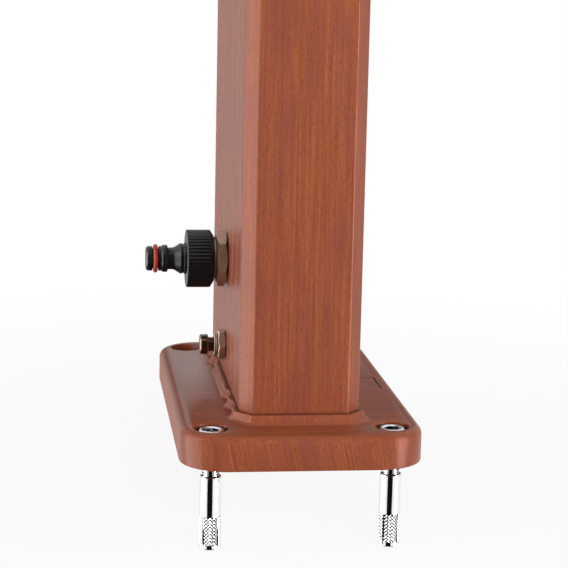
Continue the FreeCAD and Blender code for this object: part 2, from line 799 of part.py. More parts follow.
def make_top_cap():
    """The cap with its skirt, its gasket and the four screws through the column's sides."""
    cap = new_body("top_cap")
    skirt_foot = column_top - D.cap_skirt
    gasket_foot = skirt_foot + D.gasket_drop - D.gasket_height
    add_plug(cap, skirt_foot, D.cap_skirt, gasket_foot)
    lid = around(plain_quadrant(D.cap_overhang))
    add_pad(cap, new_sketch(cap, "XY_Plane", polygons=[lid], lift=column_top), D.cap_thickness)
    top = (column_top + D.cap_thickness).number
    bevel_edges(cap, lambda edge: edge.BoundBox.ZMin > top - 0.01, D.cap_edge)
    hollow = around(inside_quadrant(-D.plug_gap - D.plug_wall))
    add_pocket(cap, new_sketch(cap, "XY_Plane", polygons=[hollow], lift=skirt_foot), D.cap_skirt,
               backwards=True)
    make_gasket("top_cap_gasket", gasket_foot)

    screw_height = column_top - D.cap_screw_drop
    places = [(side * D.cap_screw_spacing * HALF, screw_height) for side in (-1, 1)]
    holes = circles_at(places, D.cap_screw_radius + D.thread_gap)
    add_pocket(cap, new_sketch(cap, "YZ_Plane", circles=holes, lift=D.column_width), D.column_width * 2)

    screws = new_body("top_cap_screws")
    for side, backwards in ((1, False), (-1, True)):
        face = half_width * side
        heads = new_sketch(screws, "YZ_Plane", circles=circles_at(places, D.cap_screw_head_radius), lift=face)
        add_pad(screws, heads, D.cap_screw_head_height, backwards=backwards)
        shanks = new_sketch(screws, "YZ_Plane", circles=circles_at(places, D.cap_screw_radius), lift=face)
        add_pad(screws, shanks, D.cap_screw_length, backwards=not backwards)


# ---------------------------------------------------------------------------------------------------------
# Hose inlet, riser tee and non-return valve
# ---------------------------------------------------------------------------------------------------------
def add_hex_collar(body, start, length, flats, turn):
    """A hexagonal collar across the X axis with its outer corners turned off, from start towards -X."""
    sketch = new_sketch(body, "YZ_Plane", polygons=[hexagon(flats, turn=turn)], lift=start)
    add_pad(body, sketch, length, backwards=True)
    corner = flats * (HALF * HEX_CORNER)
    taper = corner - flats * HALF
    end = start - length
    outer = corner + 1
    shaved = [(end - 1, flats * HALF), (end, flats * HALF), (end + taper * HALF, outer), (end - 1, outer)]
    turn_profile(body, "X", shaved, cut=True)


def add_hex_nut(label, height, start, length, flats, bore, turn=0.0):
    """A plain hexagonal nut on the X axis, from start towards -X."""
    nut = new_body(label, z=height)
    sketch = new_sketch(nut, "YZ_Plane", polygons=[hexagon(flats, turn=turn)], circles=[(0, 0, bore)],
                        lift=start)
    add_pad(nut, sketch, length, backwards=True)


def make_inlet():
    """The threaded inlet through the left wall, with its washers and lock nut."""
    washer_start = left_wall
    collar_start = washer_start - D.inlet_washer_thickness
    thread_start = collar_start - D.inlet_hex_length
    thread_end = thread_start - D.inlet_thread_length
    tail_end = left_wall + D.inlet_tail_length

    body = new_body("inlet_body", z=D.inlet_height)
    add_hex_collar(body, collar_start, D.inlet_hex_length, D.inlet_hex_flats, 80.0)
    turn_profile(body, "X", tube_profile(thread_end, thread_start, D.inlet_thread_radius))
    turn_profile(body, "X", tube_profile(collar_start, tail_end, D.inlet_tail_radius))
    turn_profile(body, "X", tube_profile(thread_end - 1, tail_end + 1, D.inlet_bore), cut=True)

    outer = new_body("inlet_outer_washer", z=D.inlet_height)
    turn_profile(outer, "X", tube_profile(collar_start, washer_start, D.inlet_washer_radius,
                                          D.inlet_tail_radius + D.thread_gap))
    inner = new_body("inlet_inner_washer", z=D.inlet_height)
    inner_end = left_wall_inside + D.inlet_washer_thickness
    turn_profile(inner, "X", tube_profile(left_wall_inside, inner_end, D.inlet_washer_radius,
                                          D.inlet_tail_radius + D.thread_gap))
    nut_end = inner_end + D.lock_nut_length
    add_hex_nut("inlet_lock_nut", D.inlet_height, nut_end, D.lock_nut_length, D.lock_nut_flats,
                D.inlet_tail_radius + D.thread_gap)
    return thread_end, nut_end, tail_end


def make_coupling(thread_end):
    """The hose tail, its washer and O-ring, and the coupling nut that clamps them to the inlet."""
    washer_end = thread_end - D.flat_washer_thickness
    washer = new_body("coupling_washer", z=D.inlet_height)
    turn_profile(washer, "X", tube_profile(washer_end, thread_end, D.tail_flange_radius, D.inlet_bore))

    tail = new_body("hose_tail", z=D.inlet_height)

    def at(distance):
        return washer_end - distance

    groove_end = D.tail_groove_start + D.tail_groove_length
    flange_end = D.tail_flange_thickness
    ring_start = flange_end + D.tail_ring_start
    profile = [
        (at(0), D.tail_bore),
        (at(0), D.tail_flange_radius),
        (at(flange_end), D.tail_flange_radius),
        (at(flange_end), D.tail_barrel_radius),
        (at(ring_start), D.tail_barrel_radius),
        (at(ring_start), D.tail_ring_radius),
        (at(ring_start + D.tail_ring_length), D.tail_ring_radius),
        (at(ring_start + D.tail_ring_length), D.tail_barrel_radius),
        (at(flange_end + D.tail_flare_start), D.tail_barrel_radius),
        (at(flange_end + D.tail_flare_end), D.tail_neck_radius),
        (at(D.tail_rib_start), D.tail_neck_radius),
        (at(D.tail_rib_start), D.tail_rib_radius),
        (at(D.tail_rib_start + D.tail_rib_length), D.tail_rib_radius),
        (at(D.tail_rib_start + D.tail_rib_length), D.tail_nose_radius),
        (at(D.tail_groove_start), D.tail_nose_radius),
        (at(D.tail_groove_start), D.tail_groove_radius),
        (at(groove_end), D.tail_groove_radius),
        (at(groove_end), D.tail_nose_radius),
        (at(D.tail_length - D.tail_tip_chamfer), D.tail_nose_radius),
        (at(D.tail_length), D.tail_nose_radius - D.tail_tip_chamfer),
        (at(D.tail_length), D.tail_bore),
    ]
    turn_profile(tail, "X", profile)

    ring = new_body("hose_tail_o_ring", z=D.inlet_height)
    sketch = new_sketch(ring, "XY_Plane", circles=[
        (at(D.tail_groove_start + D.tail_groove_length * HALF), D.tail_groove_radius + D.ring_wire_radius,
         D.ring_wire_radius)])
    add_turn(ring, sketch, "H_Axis")

    nut = new_body("coupling_nut", z=D.inlet_height)
    shelf = at(flange_end)
    back = shelf - D.coupling_end_wall
    mouth = back + D.coupling_length
    turn_profile(nut, "X", [
        (mouth, D.inlet_thread_radius + D.running_gap),
        (mouth, D.coupling_neck_radius + HALF),
        (mouth - D.coupling_taper, D.coupling_radius),
        (back, D.coupling_radius),
        (back, D.tail_barrel_radius + D.running_gap),
        (shelf, D.tail_barrel_radius + D.running_gap),
        (shelf, D.inlet_thread_radius + D.running_gap),
    ])


def cut_pipe_socket(body, end):
    """Bores a pipe's socket into a stub on the body's Z axis that ends at a height; up is a positive end."""
    outward = 1 if end.number > 0 else -1
    floor = end - D.pipe_socket_depth * outward
    turn_profile(body, "Z", tube_profile(floor, end + outward, D.pipe_radius + D.thread_gap), cut=True)


def make_tee(nut_end, tail_end):
    """The tee inside the column: water comes in from the side, goes up through the valve, then to the
    tank through a side port and to the mixer through the riser pipe."""
    tee = new_body("riser_tee", z=D.inlet_height)
    stub_foot = D.tee_top - D.pipe_socket_depth - D.gasket_depth
    turn_profile(tee, "Z", tube_profile(-D.tee_foot, stub_foot, D.tee_barrel_radius))
    turn_profile(tee, "Z", tube_profile(-D.tee_foot, D.tee_top, D.pipe_socket_radius))
    turn_profile(tee, "X", tube_profile(nut_end, 0, D.tee_barrel_radius + 1))
    cage_top = D.valve_seat_height + D.valve_seat_thickness + D.valve_guide_gap + D.valve_guide_thickness
    turn_profile(tee, "Z", tube_profile(-D.tee_foot - 1, cage_top, D.tee_bore), cut=True)
    turn_profile(tee, "Z", tube_profile(cage_top - 1, D.tee_top, D.pipe_bore), cut=True)
    cut_pipe_socket(tee, D.tee_top)
    turn_profile(tee, "X", tube_profile(nut_end - 1, tail_end + 1, D.inlet_tail_radius + D.thread_gap),
                 cut=True)
    turn_profile(tee, "X", tube_profile(tail_end, 0, D.inlet_bore), cut=True)
    port = new_sketch(tee, "YZ_Plane", circles=[(0, D.tee_port_height, D.tee_port_radius)])
    add_pocket(tee, port, D.tee_barrel_radius + 1, backwards=True)

    plug = new_body("tee_plug", z=D.inlet_height)
    turn_profile(plug, "Z", tube_profile(-D.tee_foot, D.tee_plug_length - D.tee_foot,
                                         D.tee_bore - D.thread_gap))


def make_check_valve():
    """The non-return valve in the tee: seat, guide, lifting poppet and spring."""
    seat_foot = D.inlet_height + D.valve_seat_height
    fit_radius = D.tee_bore - D.thread_gap
    cage = new_body("valve_cage", z=seat_foot)
    turn_profile(cage, "Z", tube_profile(0, D.valve_seat_thickness, fit_radius, D.valve_seat_bore))
    guide_foot = D.valve_seat_thickness + D.valve_guide_gap
    turn_profile(cage, "Z", tube_profile(D.valve_seat_thickness, guide_foot, fit_radius,
                                         D.valve_disc_radius + 1))
    turn_profile(cage, "Z", tube_profile(guide_foot, guide_foot + D.valve_guide_thickness, fit_radius,
                                         D.valve_stem_radius + D.running_gap))
    ring = [math.radians(30 + 60 * step) for step in range(6)]
    flow = [(D.valve_flow_ring * math.cos(angle), D.valve_flow_ring * math.sin(angle), D.valve_flow_radius)
            for angle in ring]
    add_pocket(cage, new_sketch(cage, "XY_Plane", circles=flow, lift=guide_foot), D.valve_guide_thickness + 1,
               backwards=True)

    poppet = new_body("valve_poppet", z=seat_foot + D.valve_seat_thickness)
    turn_profile(poppet, "Z", tube_profile(0, D.valve_disc_thickness, D.valve_disc_radius))
    turn_profile(poppet, "Z", tube_profile(0, D.valve_stem_length, D.valve_stem_radius))

    spring_foot = D.valve_disc_thickness + D.spring_wire_radius
    spring_height = D.valve_guide_gap - D.valve_disc_thickness - D.spring_wire_radius * 2
    spring = new_body("valve_spring", z=seat_foot + D.valve_seat_thickness + spring_foot)
    sketch = new_sketch(spring, "XZ_Plane", circles=[(D.spring_radius, 0, D.spring_wire_radius)])
    coil = spring.newObject("PartDesign::AdditiveHelix", "spring_coil")
    coil.Profile = sketch
    coil.ReferenceAxis = (sketch, ["V_Axis"])
    coil.Mode = "height-turns-angle"
    bind(coil, "Height", spring_height)
    bind(coil, "Turns", D.spring_turns)


# ---------------------------------------------------------------------------------------------------------
# Drain
# ---------------------------------------------------------------------------------------------------------
def make_drain():
    """The drain fitting low on the left wall and the knurled screw that opens it."""
    collar_start = left_wall - D.inlet_washer_thickness
    hex_end = collar_start - D.drain_hex_length
    mouth = hex_end - D.drain_collar_length
    tail_end = left_wall + D.drain_tail_length
    seat = mouth + D.drain_screw_reach

    body = new_body("drain_body", z=D.drain_height)
    add_hex_collar(body, collar_start, D.drain_hex_length, D.drain_hex_flats, 122.0)
    turn_profile(body, "X", tube_profile(mouth, hex_end, D.drain_collar_radius))
    turn_profile(body, "X", tube_profile(collar_start, tail_end, D.drain_tail_radius))
    turn_profile(body, "X", tube_profile(mouth - 1, seat, D.drain_screw_radius + D.running_gap), cut=True)
    turn_profile(body, "X", tube_profile(seat - 1, tail_end + 1, D.drain_outlet_radius), cut=True)

    outer = new_body("drain_outer_washer", z=D.drain_height)
    turn_profile(outer, "X", tube_profile(collar_start, left_wall, D.drain_washer_radius,
                                          D.drain_tail_radius + D.thread_gap))
    inner_end = left_wall_inside + D.inlet_washer_thickness
    inner = new_body("drain_inner_washer", z=D.drain_height)
    turn_profile(inner, "X", tube_profile(left_wall_inside, inner_end, D.drain_washer_radius,
                                          D.drain_tail_radius + D.thread_gap))
    add_hex_nut("drain_lock_nut", D.drain_height, inner_end + D.drain_nut_length, D.drain_nut_length,
                D.drain_nut_flats, D.drain_tail_radius + D.thread_gap)

    neck_end = mouth - D.drain_neck_length
    screw_tip = seat - D.drain_screw_tip_gap
    ring_wire = D.ring_wire_radius * HALF
    ring_middle = screw_tip - ring_wire * 3
    groove_floor = D.drain_screw_radius - ring_wire * 2
    screw = new_body("drain_screw", z=D.drain_height)
    turn_profile(screw, "X", tube_profile(neck_end, screw_tip, D.drain_screw_radius))
    turn_profile(screw, "X", tube_profile(neck_end - D.drain_knob_length, neck_end, D.drain_knob_radius))
    turn_profile(screw, "X", tube_profile(ring_middle - ring_wire, ring_middle + ring_wire,
                                          D.drain_screw_radius + 1, groove_floor), cut=True)

    ring = new_body("drain_o_ring", z=D.drain_height)
    wire = ring_wire - D.running_gap * HALF
    sketch = new_sketch(ring, "XY_Plane", circles=[(ring_middle, groove_floor + wire, wire)])
    add_turn(ring, sketch, "H_Axis")


# ---------------------------------------------------------------------------------------------------------
# Pipes inside the column
# ---------------------------------------------------------------------------------------------------------
def unit(start, end):
    """The direction from one point to another, as plain numbers."""
    across = as_size(end[0] - start[0]).number
    up = as_size(end[1] - start[1]).number
    length = math.hypot(across, up)
    return (across / length, up / length)


def draw_line(sketch, start, end):
    """Adds a straight run with both ends bound."""
    points = [FreeCAD.Vector(as_size(a).number, as_size(b).number, 0) for a, b in (start, end)]
    line = sketch.addGeometry(Part.LineSegment(*points), False)
    pin_point(sketch, line, 1, *start)
    pin_point(sketch, line, 2, *end)


def draw_bend(sketch, start, end, corner, left):
    """Adds a round bend between two runs that meet at a corner; left says which way the route turns."""
    a, b, tip = [FreeCAD.Vector(as_size(x).number, as_size(y).number, 0) for x, y in (start, end, corner)]
    middle = (a + b) * HALF
    half_chord = (b - a).Length * HALF
    depth = (tip - middle).Length
    radius = half_chord * (a - tip).Length / depth
    centre = tip + (middle - tip).normalize() * math.hypot(radius, (a - tip).Length)
    through = centre + (tip - centre).normalize() * radius
    arc = sketch.addGeometry(Part.Arc(a, through, b), False)
    first, last = (1, 2) if left else (2, 1)
    sketch.addConstraint(Sketcher.Constraint("Tangent", arc - 1, 2, arc, first))
    pin_point(sketch, arc, last, *end)


def bent_pipe(label, y, z, role, route, bend, radius, bore):
    """A pipe in the plane X = 0: it leaves a point square to a plane and turns at each corner of a route
    given from that point."""
    pipe = new_body(label, 0, y, z)
    spine = pipe.newObject("Sketcher::SketchObject", f"{label}_spine")
    spine.AttachmentSupport = [(plane_of(pipe, "YZ_Plane"), "")]
    spine.MapMode = "FlatFace"
    run_start = route[0]
    for before, corner, after in zip(route, route[1:], route[2:]):
        came, leaves = unit(before, corner), unit(corner, after)
        turn = math.acos(came[0] * leaves[0] + came[1] * leaves[1])
        cut_back = bend * math.tan(turn / 2)
        bend_start = (corner[0] - cut_back * came[0], corner[1] - cut_back * came[1])
        bend_end = (corner[0] + cut_back * leaves[0], corner[1] + cut_back * leaves[1])
        draw_line(spine, run_start, bend_start)
        draw_bend(spine, bend_start, bend_end, corner, came[0] * leaves[1] > came[1] * leaves[0])
        run_start = bend_end
    draw_line(spine, run_start, route[-1])
    sweep = pipe.newObject("PartDesign::AdditivePipe", f"{label}_sweep")
    sweep.Profile = new_sketch(pipe, role, circles=[(0, 0, radius), (0, 0, bore)])
    doc.recompute()
    sweep.Spine = (spine, [f"Edge{number}" for number in range(1, spine.GeometryCount + 1)])


mixer_inside = front_wall_inside + D.mixer_gasket_thickness
mixer_back = mixer_inside + D.mixer_housing_length
mixer_port = mixer_inside + D.mixer_port_inset
back_port_end = mixer_back + D.mixer_back_port_length


def make_pipes():
    """Cold riser, hot pick-up from the top of the tank, and the mixed-water riser to the arm."""
    cold_start = D.inlet_height + D.tee_top - D.pipe_socket_depth
    cold_end = D.mixer_height - D.mixer_port_reach + D.pipe_socket_depth
    shift_start = D.cold_pipe_shift_height - cold_start
    shift = 0 - mixer_port
    bent_pipe("cold_riser_pipe", 0, cold_start, "XY_Plane", [
        (0, 0), (0, shift_start), (-shift, shift_start + shift), (-shift, cold_end - cold_start),
    ], D.pipe_bend, D.pipe_radius, D.pipe_bore)
    hot_start = back_port_end - D.pipe_socket_depth
    hot_rise = column_top - D.hot_pipe_top_gap - D.mixer_height
    bent_pipe("hot_pickup_pipe", hot_start, D.mixer_height, "XZ_Plane", [
        (0, 0), (-hot_start, 0), (-hot_start, hot_rise),
    ], D.pipe_bend, D.pipe_radius, D.pipe_bore)
    mixed = new_body("mixed_riser_pipe", 0, mixer_port, D.mixer_height)
    mixed_start = D.mixer_port_reach - D.pipe_socket_depth
    mixed_end = arm_height - D.elbow_drop + D.pipe_socket_depth - D.mixer_height
    turn_profile(mixed, "Z", tube_profile(mixed_start, mixed_end, D.pipe_radius, D.pipe_bore))
    make_pipe_nuts()


def make_pipe_nuts():
    """The five union nuts on the pipes' ends: four along Z, one along Y behind the mixer."""
    nuts = new_body("pipe_union_nuts")
    pipe_hole = D.pipe_radius + D.thread_gap
    stub_hole = D.pipe_socket_radius + D.thread_gap
    stubs = [
        (0, D.inlet_height + D.tee_top, False),
        (mixer_port, D.mixer_height - D.mixer_port_reach, True),
        (mixer_port, D.mixer_height + D.mixer_port_reach, False),
        (mixer_port, arm_height - D.elbow_drop, True),
    ]
    for y, end, downwards in stubs:
        add_union_nut(nuts, "XY_Plane", (0, y), end, downwards, pipe_hole, stub_hole)
    add_union_nut(nuts, "XZ_Plane", (0, D.mixer_height), -back_port_end, True, pipe_hole, stub_hole)


def add_union_nut(body, role, centre, end, backwards, pipe_hole, stub_hole):
    """One union nut: an end wall around the pipe and a skirt over the stub."""
    hexagonal = hexagon(D.pipe_nut_flats, *centre)
    wall = new_sketch(body, role, polygons=[hexagonal], circles=[(*centre, pipe_hole)], lift=end)
    add_pad(body, wall, D.pipe_nut_end_wall, backwards=backwards)
    skirt = new_sketch(body, role, polygons=[hexagonal], circles=[(*centre, stub_hole)], lift=end)
    add_pad(body, skirt, D.pipe_nut_length - D.pipe_nut_end_wall, backwards=not backwards)


# ---------------------------------------------------------------------------------------------------------
# Mixer
# ---------------------------------------------------------------------------------------------------------
neck_front = front_wall - D.mixer_neck_reach
cartridge_front = neck_front + D.cartridge_nut_length
cavity_floor = mixer_back - D.mixer_floor
lever_pivot = front_wall - D.lever_pivot_reach
rosette_front = front_wall - D.rosette_thickness
carrier_radius = D.cartridge_radius - D.thread_gap - D.cartridge_wall - D.running_gap


def along_from(origin):
    """Turns absolute Y positions into positions along a body that starts at a given Y."""
    return lambda *positions: [position - origin for position in positions]


def make_mixer_housing():
    """The housing behind the front wall, its gasket, rosette and shroud."""
    local = along_from(mixer_port)
    inside, back, front, floor, port_end = local(mixer_inside, mixer_back, neck_front, cavity_floor,
                                                 back_port_end)
    housing = new_body("mixer_housing", 0, mixer_port, D.mixer_height)
    turn_profile(housing, "Y", tube_profile(inside, back, D.mixer_housing_radius))
    turn_profile(housing, "Y", tube_profile(front, inside, D.mixer_neck_radius))
    turn_profile(housing, "Y", tube_profile(inside, port_end, D.pipe_socket_radius))
    turn_profile(housing, "Z", tube_profile(-D.mixer_port_reach, D.mixer_port_reach, D.pipe_socket_radius))
    turn_profile(housing, "Y", tube_profile(front - 1, floor, D.cartridge_radius), cut=True)
    turn_profile(housing, "Y", tube_profile(floor - 1, port_end + 1, D.mixer_port_bore), cut=True)
    socket_floor = port_end - D.pipe_socket_depth
    turn_profile(housing, "Y", tube_profile(socket_floor, port_end + 1, D.pipe_radius + D.thread_gap),
                 cut=True)
    turn_profile(housing, "Z", tube_profile(-D.mixer_port_reach, D.mixer_port_reach, D.mixer_port_bore),
                 cut=True)
    cut_pipe_socket(housing, D.mixer_port_reach)
    cut_pipe_socket(housing, -D.mixer_port_reach)

    neck_hole = D.mixer_neck_radius + D.thread_gap
    gasket = new_body("mixer_gasket", 0, 0, D.mixer_height)
    turn_profile(gasket, "Y", tube_profile(front_wall_inside, mixer_inside, D.mixer_housing_radius, neck_hole))
    rosette = new_body("mixer_rosette", 0, 0, D.mixer_height)
    turn_profile(rosette, "Y", [
        (front_wall, neck_hole),
        (front_wall, D.rosette_radius),
        (rosette_front + D.rosette_edge, D.rosette_radius),
        (rosette_front, D.rosette_radius - D.rosette_edge),
        (rosette_front, neck_hole),
    ])
    shroud = new_body("mixer_shroud", 0, 0, D.mixer_height)
    turn_profile(shroud, "Y", tube_profile(front_wall - D.shroud_reach, rosette_front, D.shroud_radius,
                                           neck_hole))


def make_cartridge():
    """The cartridge, its ceramic disc, its nut and the carrier the lever turns."""
    local = along_from(mixer_port)
    front, floor = local(cartridge_front, cavity_floor)
    fit_radius = D.cartridge_radius - D.thread_gap
    cartridge = new_body("mixer_cartridge", 0, mixer_port, D.mixer_height)
    turn_profile(cartridge, "Y", tube_profile(front, floor, fit_radius, fit_radius - D.cartridge_wall))
    turn_profile(cartridge, "Y", tube_profile(floor - D.cartridge_floor, floor, fit_radius,
                                              D.cartridge_window))
    windows = new_sketch(cartridge, "XY_Plane", circles=[(0, 0, D.cartridge_window)], lift=fit_radius)
    add_pocket(cartridge, windows, fit_radius * 2)

    nut = new_body("cartridge_nut", 0, 0, D.mixer_height)
    turn_profile(nut, "Y", tube_profile(neck_front, cartridge_front, fit_radius,
                                        D.carrier_spigot_radius + D.running_gap))

    local = along_from(lever_pivot)
    carrier_front, = local(cartridge_front + D.ball_gap)
    carrier_back = carrier_front + D.carrier_thickness
    spigot_front = -D.carrier_spigot_overhang
    carrier = new_body("cartridge_carrier", 0, lever_pivot, D.mixer_height)
    turn_profile(carrier, "Y", tube_profile(carrier_front, carrier_back, carrier_radius))
    turn_profile(carrier, "Y", tube_profile(spigot_front, carrier_back, D.carrier_spigot_radius))
    half_slot = D.carrier_slot_width * HALF
    slot = [(-half_slot, -D.carrier_slot_below), (half_slot, -D.carrier_slot_below),
            (half_slot, D.carrier_slot_above), (-half_slot, D.carrier_slot_above)]
    add_pocket(carrier, new_sketch(carrier, "XZ_Plane", polygons=[slot], lift=-spigot_front),
               carrier_back - spigot_front)
    pin_hole = D.lever_pin_radius + D.thread_gap
    turn_profile(carrier, "X", tube_profile(-D.lever_pin_length, D.lever_pin_length, pin_hole), cut=True)

    disc = new_body("ceramic_disc", 0, lever_pivot, D.mixer_height)
    turn_profile(disc, "Y", tube_profile(carrier_back, carrier_back + D.disc_thickness, carrier_radius,
                                         D.disc_hole_radius))


def make_lever():
    """The lever with its pin, stem, screw and index button, about the pivot in front of the carrier."""
    pin_hole = D.lever_pin_radius + D.thread_gap
    half_pin = D.lever_pin_length * HALF
    pin = new_body("lever_pin", 0, lever_pivot, D.mixer_height)
    turn_profile(pin, "X", tube_profile(-half_pin, half_pin, D.lever_pin_radius))

    half_eye = D.carrier_slot_width * HALF - D.running_gap
    stem_front = -D.stem_outer_length
    screw_hole = D.lever_screw_radius + D.thread_gap
    stem = new_body("lever_stem", 0, lever_pivot, D.mixer_height)
    turn_profile(stem, "Y", tube_profile(stem_front, D.stem_inner_length, D.stem_radius))
    turn_profile(stem, "X", tube_profile(-half_eye, half_eye, D.stem_eye_radius))
    turn_profile(stem, "X", tube_profile(-half_eye - 1, half_eye + 1, pin_hole), cut=True)
    turn_profile(stem, "Y", tube_profile(stem_front - 1, stem_front + D.stem_thread_depth, screw_hole),
                 cut=True)

    lever = new_body("mixer_lever", 0, lever_pivot, D.mixer_height)
    ball = lever.newObject("PartDesign::AdditiveSphere", "lever_ball")
    bind(ball, "Radius", D.lever_ball_radius)
    mouth = new_sketch(lever, "XZ_Plane", circles=[(0, 0, D.lever_ball_radius * 2)], lift=D.lever_rim_inset)
    add_pocket(lever, mouth, D.lever_ball_radius * 2)
    flat = new_sketch(lever, "XZ_Plane", circles=[(0, 0, D.lever_ball_radius)], lift=D.lever_front)
    add_pocket(lever, flat, D.lever_ball_radius, backwards=True)
    hollow = lever.newObject("PartDesign::SubtractiveSphere", "lever_hollow")
    bind(hollow, "Radius", D.lever_ball_radius - D.lever_ball_wall)
    boss = new_sketch(lever, "XZ_Plane", circles=[(0, 0, D.lever_boss_radius)], lift=D.lever_boss_start)
    add_pad(lever, boss, D.lever_front - D.lever_boss_start)
    add_lever_blade(lever)
    stem_hole = D.stem_radius + D.thread_gap
    turn_profile(lever, "Y", tube_profile(stem_front - D.thread_gap, 0, stem_hole), cut=True)
    index_floor = D.index_thickness - D.lever_front
    head_front = index_floor + D.thread_gap
    head_back = head_front + D.lever_screw_head_height
    turn_profile(lever, "Y", tube_profile(head_back, stem_front, D.lever_screw_radius + D.wall_hole_gap),
                 cut=True)
    turn_profile(lever, "Y", tube_profile(index_floor - 1, head_back, D.lever_screw_head_radius + D.wall_hole_gap),
                 cut=True)
    turn_profile(lever, "Y", tube_profile(-D.lever_front - 1, index_floor, D.index_radius + D.thread_gap),
                 cut=True)

    screw = new_body("lever_screw", 0, lever_pivot, D.mixer_height)
    turn_profile(screw, "Y", tube_profile(head_front, head_back, D.lever_screw_head_radius))
    turn_profile(screw, "Y", tube_profile(head_front, head_front + D.lever_screw_length,
                                          D.lever_screw_radius))
    drive = new_sketch(screw, "XZ_Plane", polygons=[hexagon(D.lever_screw_radius * 1.4)], lift=-head_front)
    add_pocket(screw, drive, D.lever_screw_head_height * HALF)

    index = new_body("lever_index", 0, lever_pivot, D.mixer_height)
    turn_profile(index, "Y", tube_profile(-D.lever_front, index_floor, D.index_radius))


def add_lever_blade(lever):
    """The lever's grip: it leaves the ball low in front and hangs down, a little forward at its tip."""
    middle = D.lever_ball_radius - D.lever_ball_wall * HALF
    root = (-middle * 0.6, -middle * 0.8)
    knee = (root[0] - D.lever_thickness, root[1] - D.lever_length * 0.35)
    tip = (knee[0] + 0.5, -D.lever_length)
    half_thickness = D.lever_thickness * HALF
    outline = [
        (root[0] + half_thickness, root[1] - half_thickness * 0.75),
        (knee[0] + half_thickness, knee[1]),
        (tip[0] + half_thickness, tip[1]),
        (tip[0] - half_thickness * 0.4, tip[1]),
        (knee[0] - half_thickness, knee[1]),
        (root[0] - half_thickness, root[1] + half_thickness * 0.75),
    ]
    sketch = new_sketch(lever, "YZ_Plane", polygons=[outline], lift=-D.lever_width * HALF)
    add_pad(lever, sketch, D.lever_width)
    length = D.lever_length.number
    side = (D.lever_width * HALF).number
    round_edges(lever, lambda edge: edge.BoundBox.ZMax < -length * 0.4 and edge.BoundBox.XLength < 0.01
                and abs(abs(edge.BoundBox.XMin) - side) < 0.01, D.lever_edge_radius)


# ---------------------------------------------------------------------------------------------------------
# Shower arm and head
# ---------------------------------------------------------------------------------------------------------
head_place = (0, front_wall - D.arm_reach, arm_height - D.arm_drop - D.ball_drop)


def make_arm():
    """The elbow behind the front wall, the arm and its rosette."""
    local = along_from(mixer_port)
    inside, = local(front_wall_inside)
    neck_end, = local(front_wall - D.elbow_neck_reach)
    elbow = new_body("arm_elbow", 0, mixer_port, arm_height)
    turn_profile(elbow, "Y", tube_profile(inside, inside + D.elbow_body_length, D.elbow_body_radius))
    turn_profile(elbow, "Y", tube_profile(inside, inside + D.elbow_flange_thickness, D.elbow_flange_radius))
    turn_profile(elbow, "Y", tube_profile(neck_end, inside, D.elbow_neck_radius))
    turn_profile(elbow, "Z", tube_profile(-D.elbow_drop, 0, D.pipe_socket_radius))
    turn_profile(elbow, "Y", tube_profile(neck_end - 1, D.elbow_bore, D.elbow_bore), cut=True)
    turn_profile(elbow, "Z", tube_profile(-D.elbow_drop, 0, D.mixer_port_bore), cut=True)
    cut_pipe_socket(elbow, -D.elbow_drop)

    bent_pipe("shower_arm", front_wall, arm_height, "XZ_Plane", [
        (0, 0), (-D.arm_reach, 0), (-D.arm_reach, -D.arm_drop),
    ], D.arm_bend, D.arm_radius, D.elbow_neck_radius + D.thread_gap)

    hole = D.arm_radius + D.thread_gap
    front = front_wall - D.arm_rosette_thickness
    rosette = new_body("arm_rosette", 0, 0, arm_height)
    turn_profile(rosette, "Y", [
        (front_wall, hole),
        (front_wall, D.arm_rosette_radius),
        (front + D.rosette_edge * 2, D.arm_rosette_radius),
        (front, D.arm_rosette_radius - D.rosette_edge * 3),
        (front, hole),
    ])


def make_ball_joint():
    """The ball stud in the arm's end, and the seat ring and nut that hold the head on the ball."""
    stud = new_body("ball_stud", *head_place)
    collar_foot = D.ball_drop - D.stud_collar_length
    turn_profile(stud, "Z", tube_profile(D.ball_drop, D.ball_drop + D.stud_plug_length, D.elbow_neck_radius))
    turn_profile(stud, "Z", tube_profile(collar_foot, D.ball_drop, D.stud_collar_radius))
    turn_profile(stud, "Z", tube_profile(0, collar_foot, D.stud_neck_radius))
    ball = stud.newObject("PartDesign::AdditiveSphere", "stud_ball")
    bind(ball, "Radius", D.ball_radius)
    stud_top = D.ball_drop + D.stud_plug_length
    turn_profile(stud, "Z", tube_profile(-D.ball_radius - 1, stud_top + 1, D.ball_bore), cut=True)

    cup_radius = D.ball_radius + D.ball_gap
    thread_hole = D.head_boss_radius + D.thread_gap
    nut = new_body("ball_nut", *head_place)
    turn_profile(nut, "Z", [
        (-D.ball_nut_below, thread_hole),
        (-D.ball_nut_below, D.ball_nut_radius - D.ball_nut_edge),
        (D.ball_nut_edge - D.ball_nut_below, D.ball_nut_radius),
        (D.ball_nut_above - D.ball_nut_edge * 2, D.ball_nut_radius),
        (D.ball_nut_above, D.ball_nut_radius - D.ball_nut_edge * 2),
        (D.ball_nut_above, D.ball_nut_mouth),
        (-D.ball_seat_top, D.ball_nut_mouth),
        (-D.ball_seat_top, thread_hole),
    ])
    cup = nut.newObject("PartDesign::SubtractiveSphere", "nut_cup")
    bind(cup, "Radius", cup_radius)

    seat = new_body("ball_seat_ring", *head_place)
    turn_profile(seat, "Z", tube_profile(-D.ball_seat_foot, -D.ball_seat_top, D.head_boss_radius, D.head_bore))
    hollow = seat.newObject("PartDesign::SubtractiveSphere", "seat_cup")
    bind(hollow, "Radius", cup_radius)


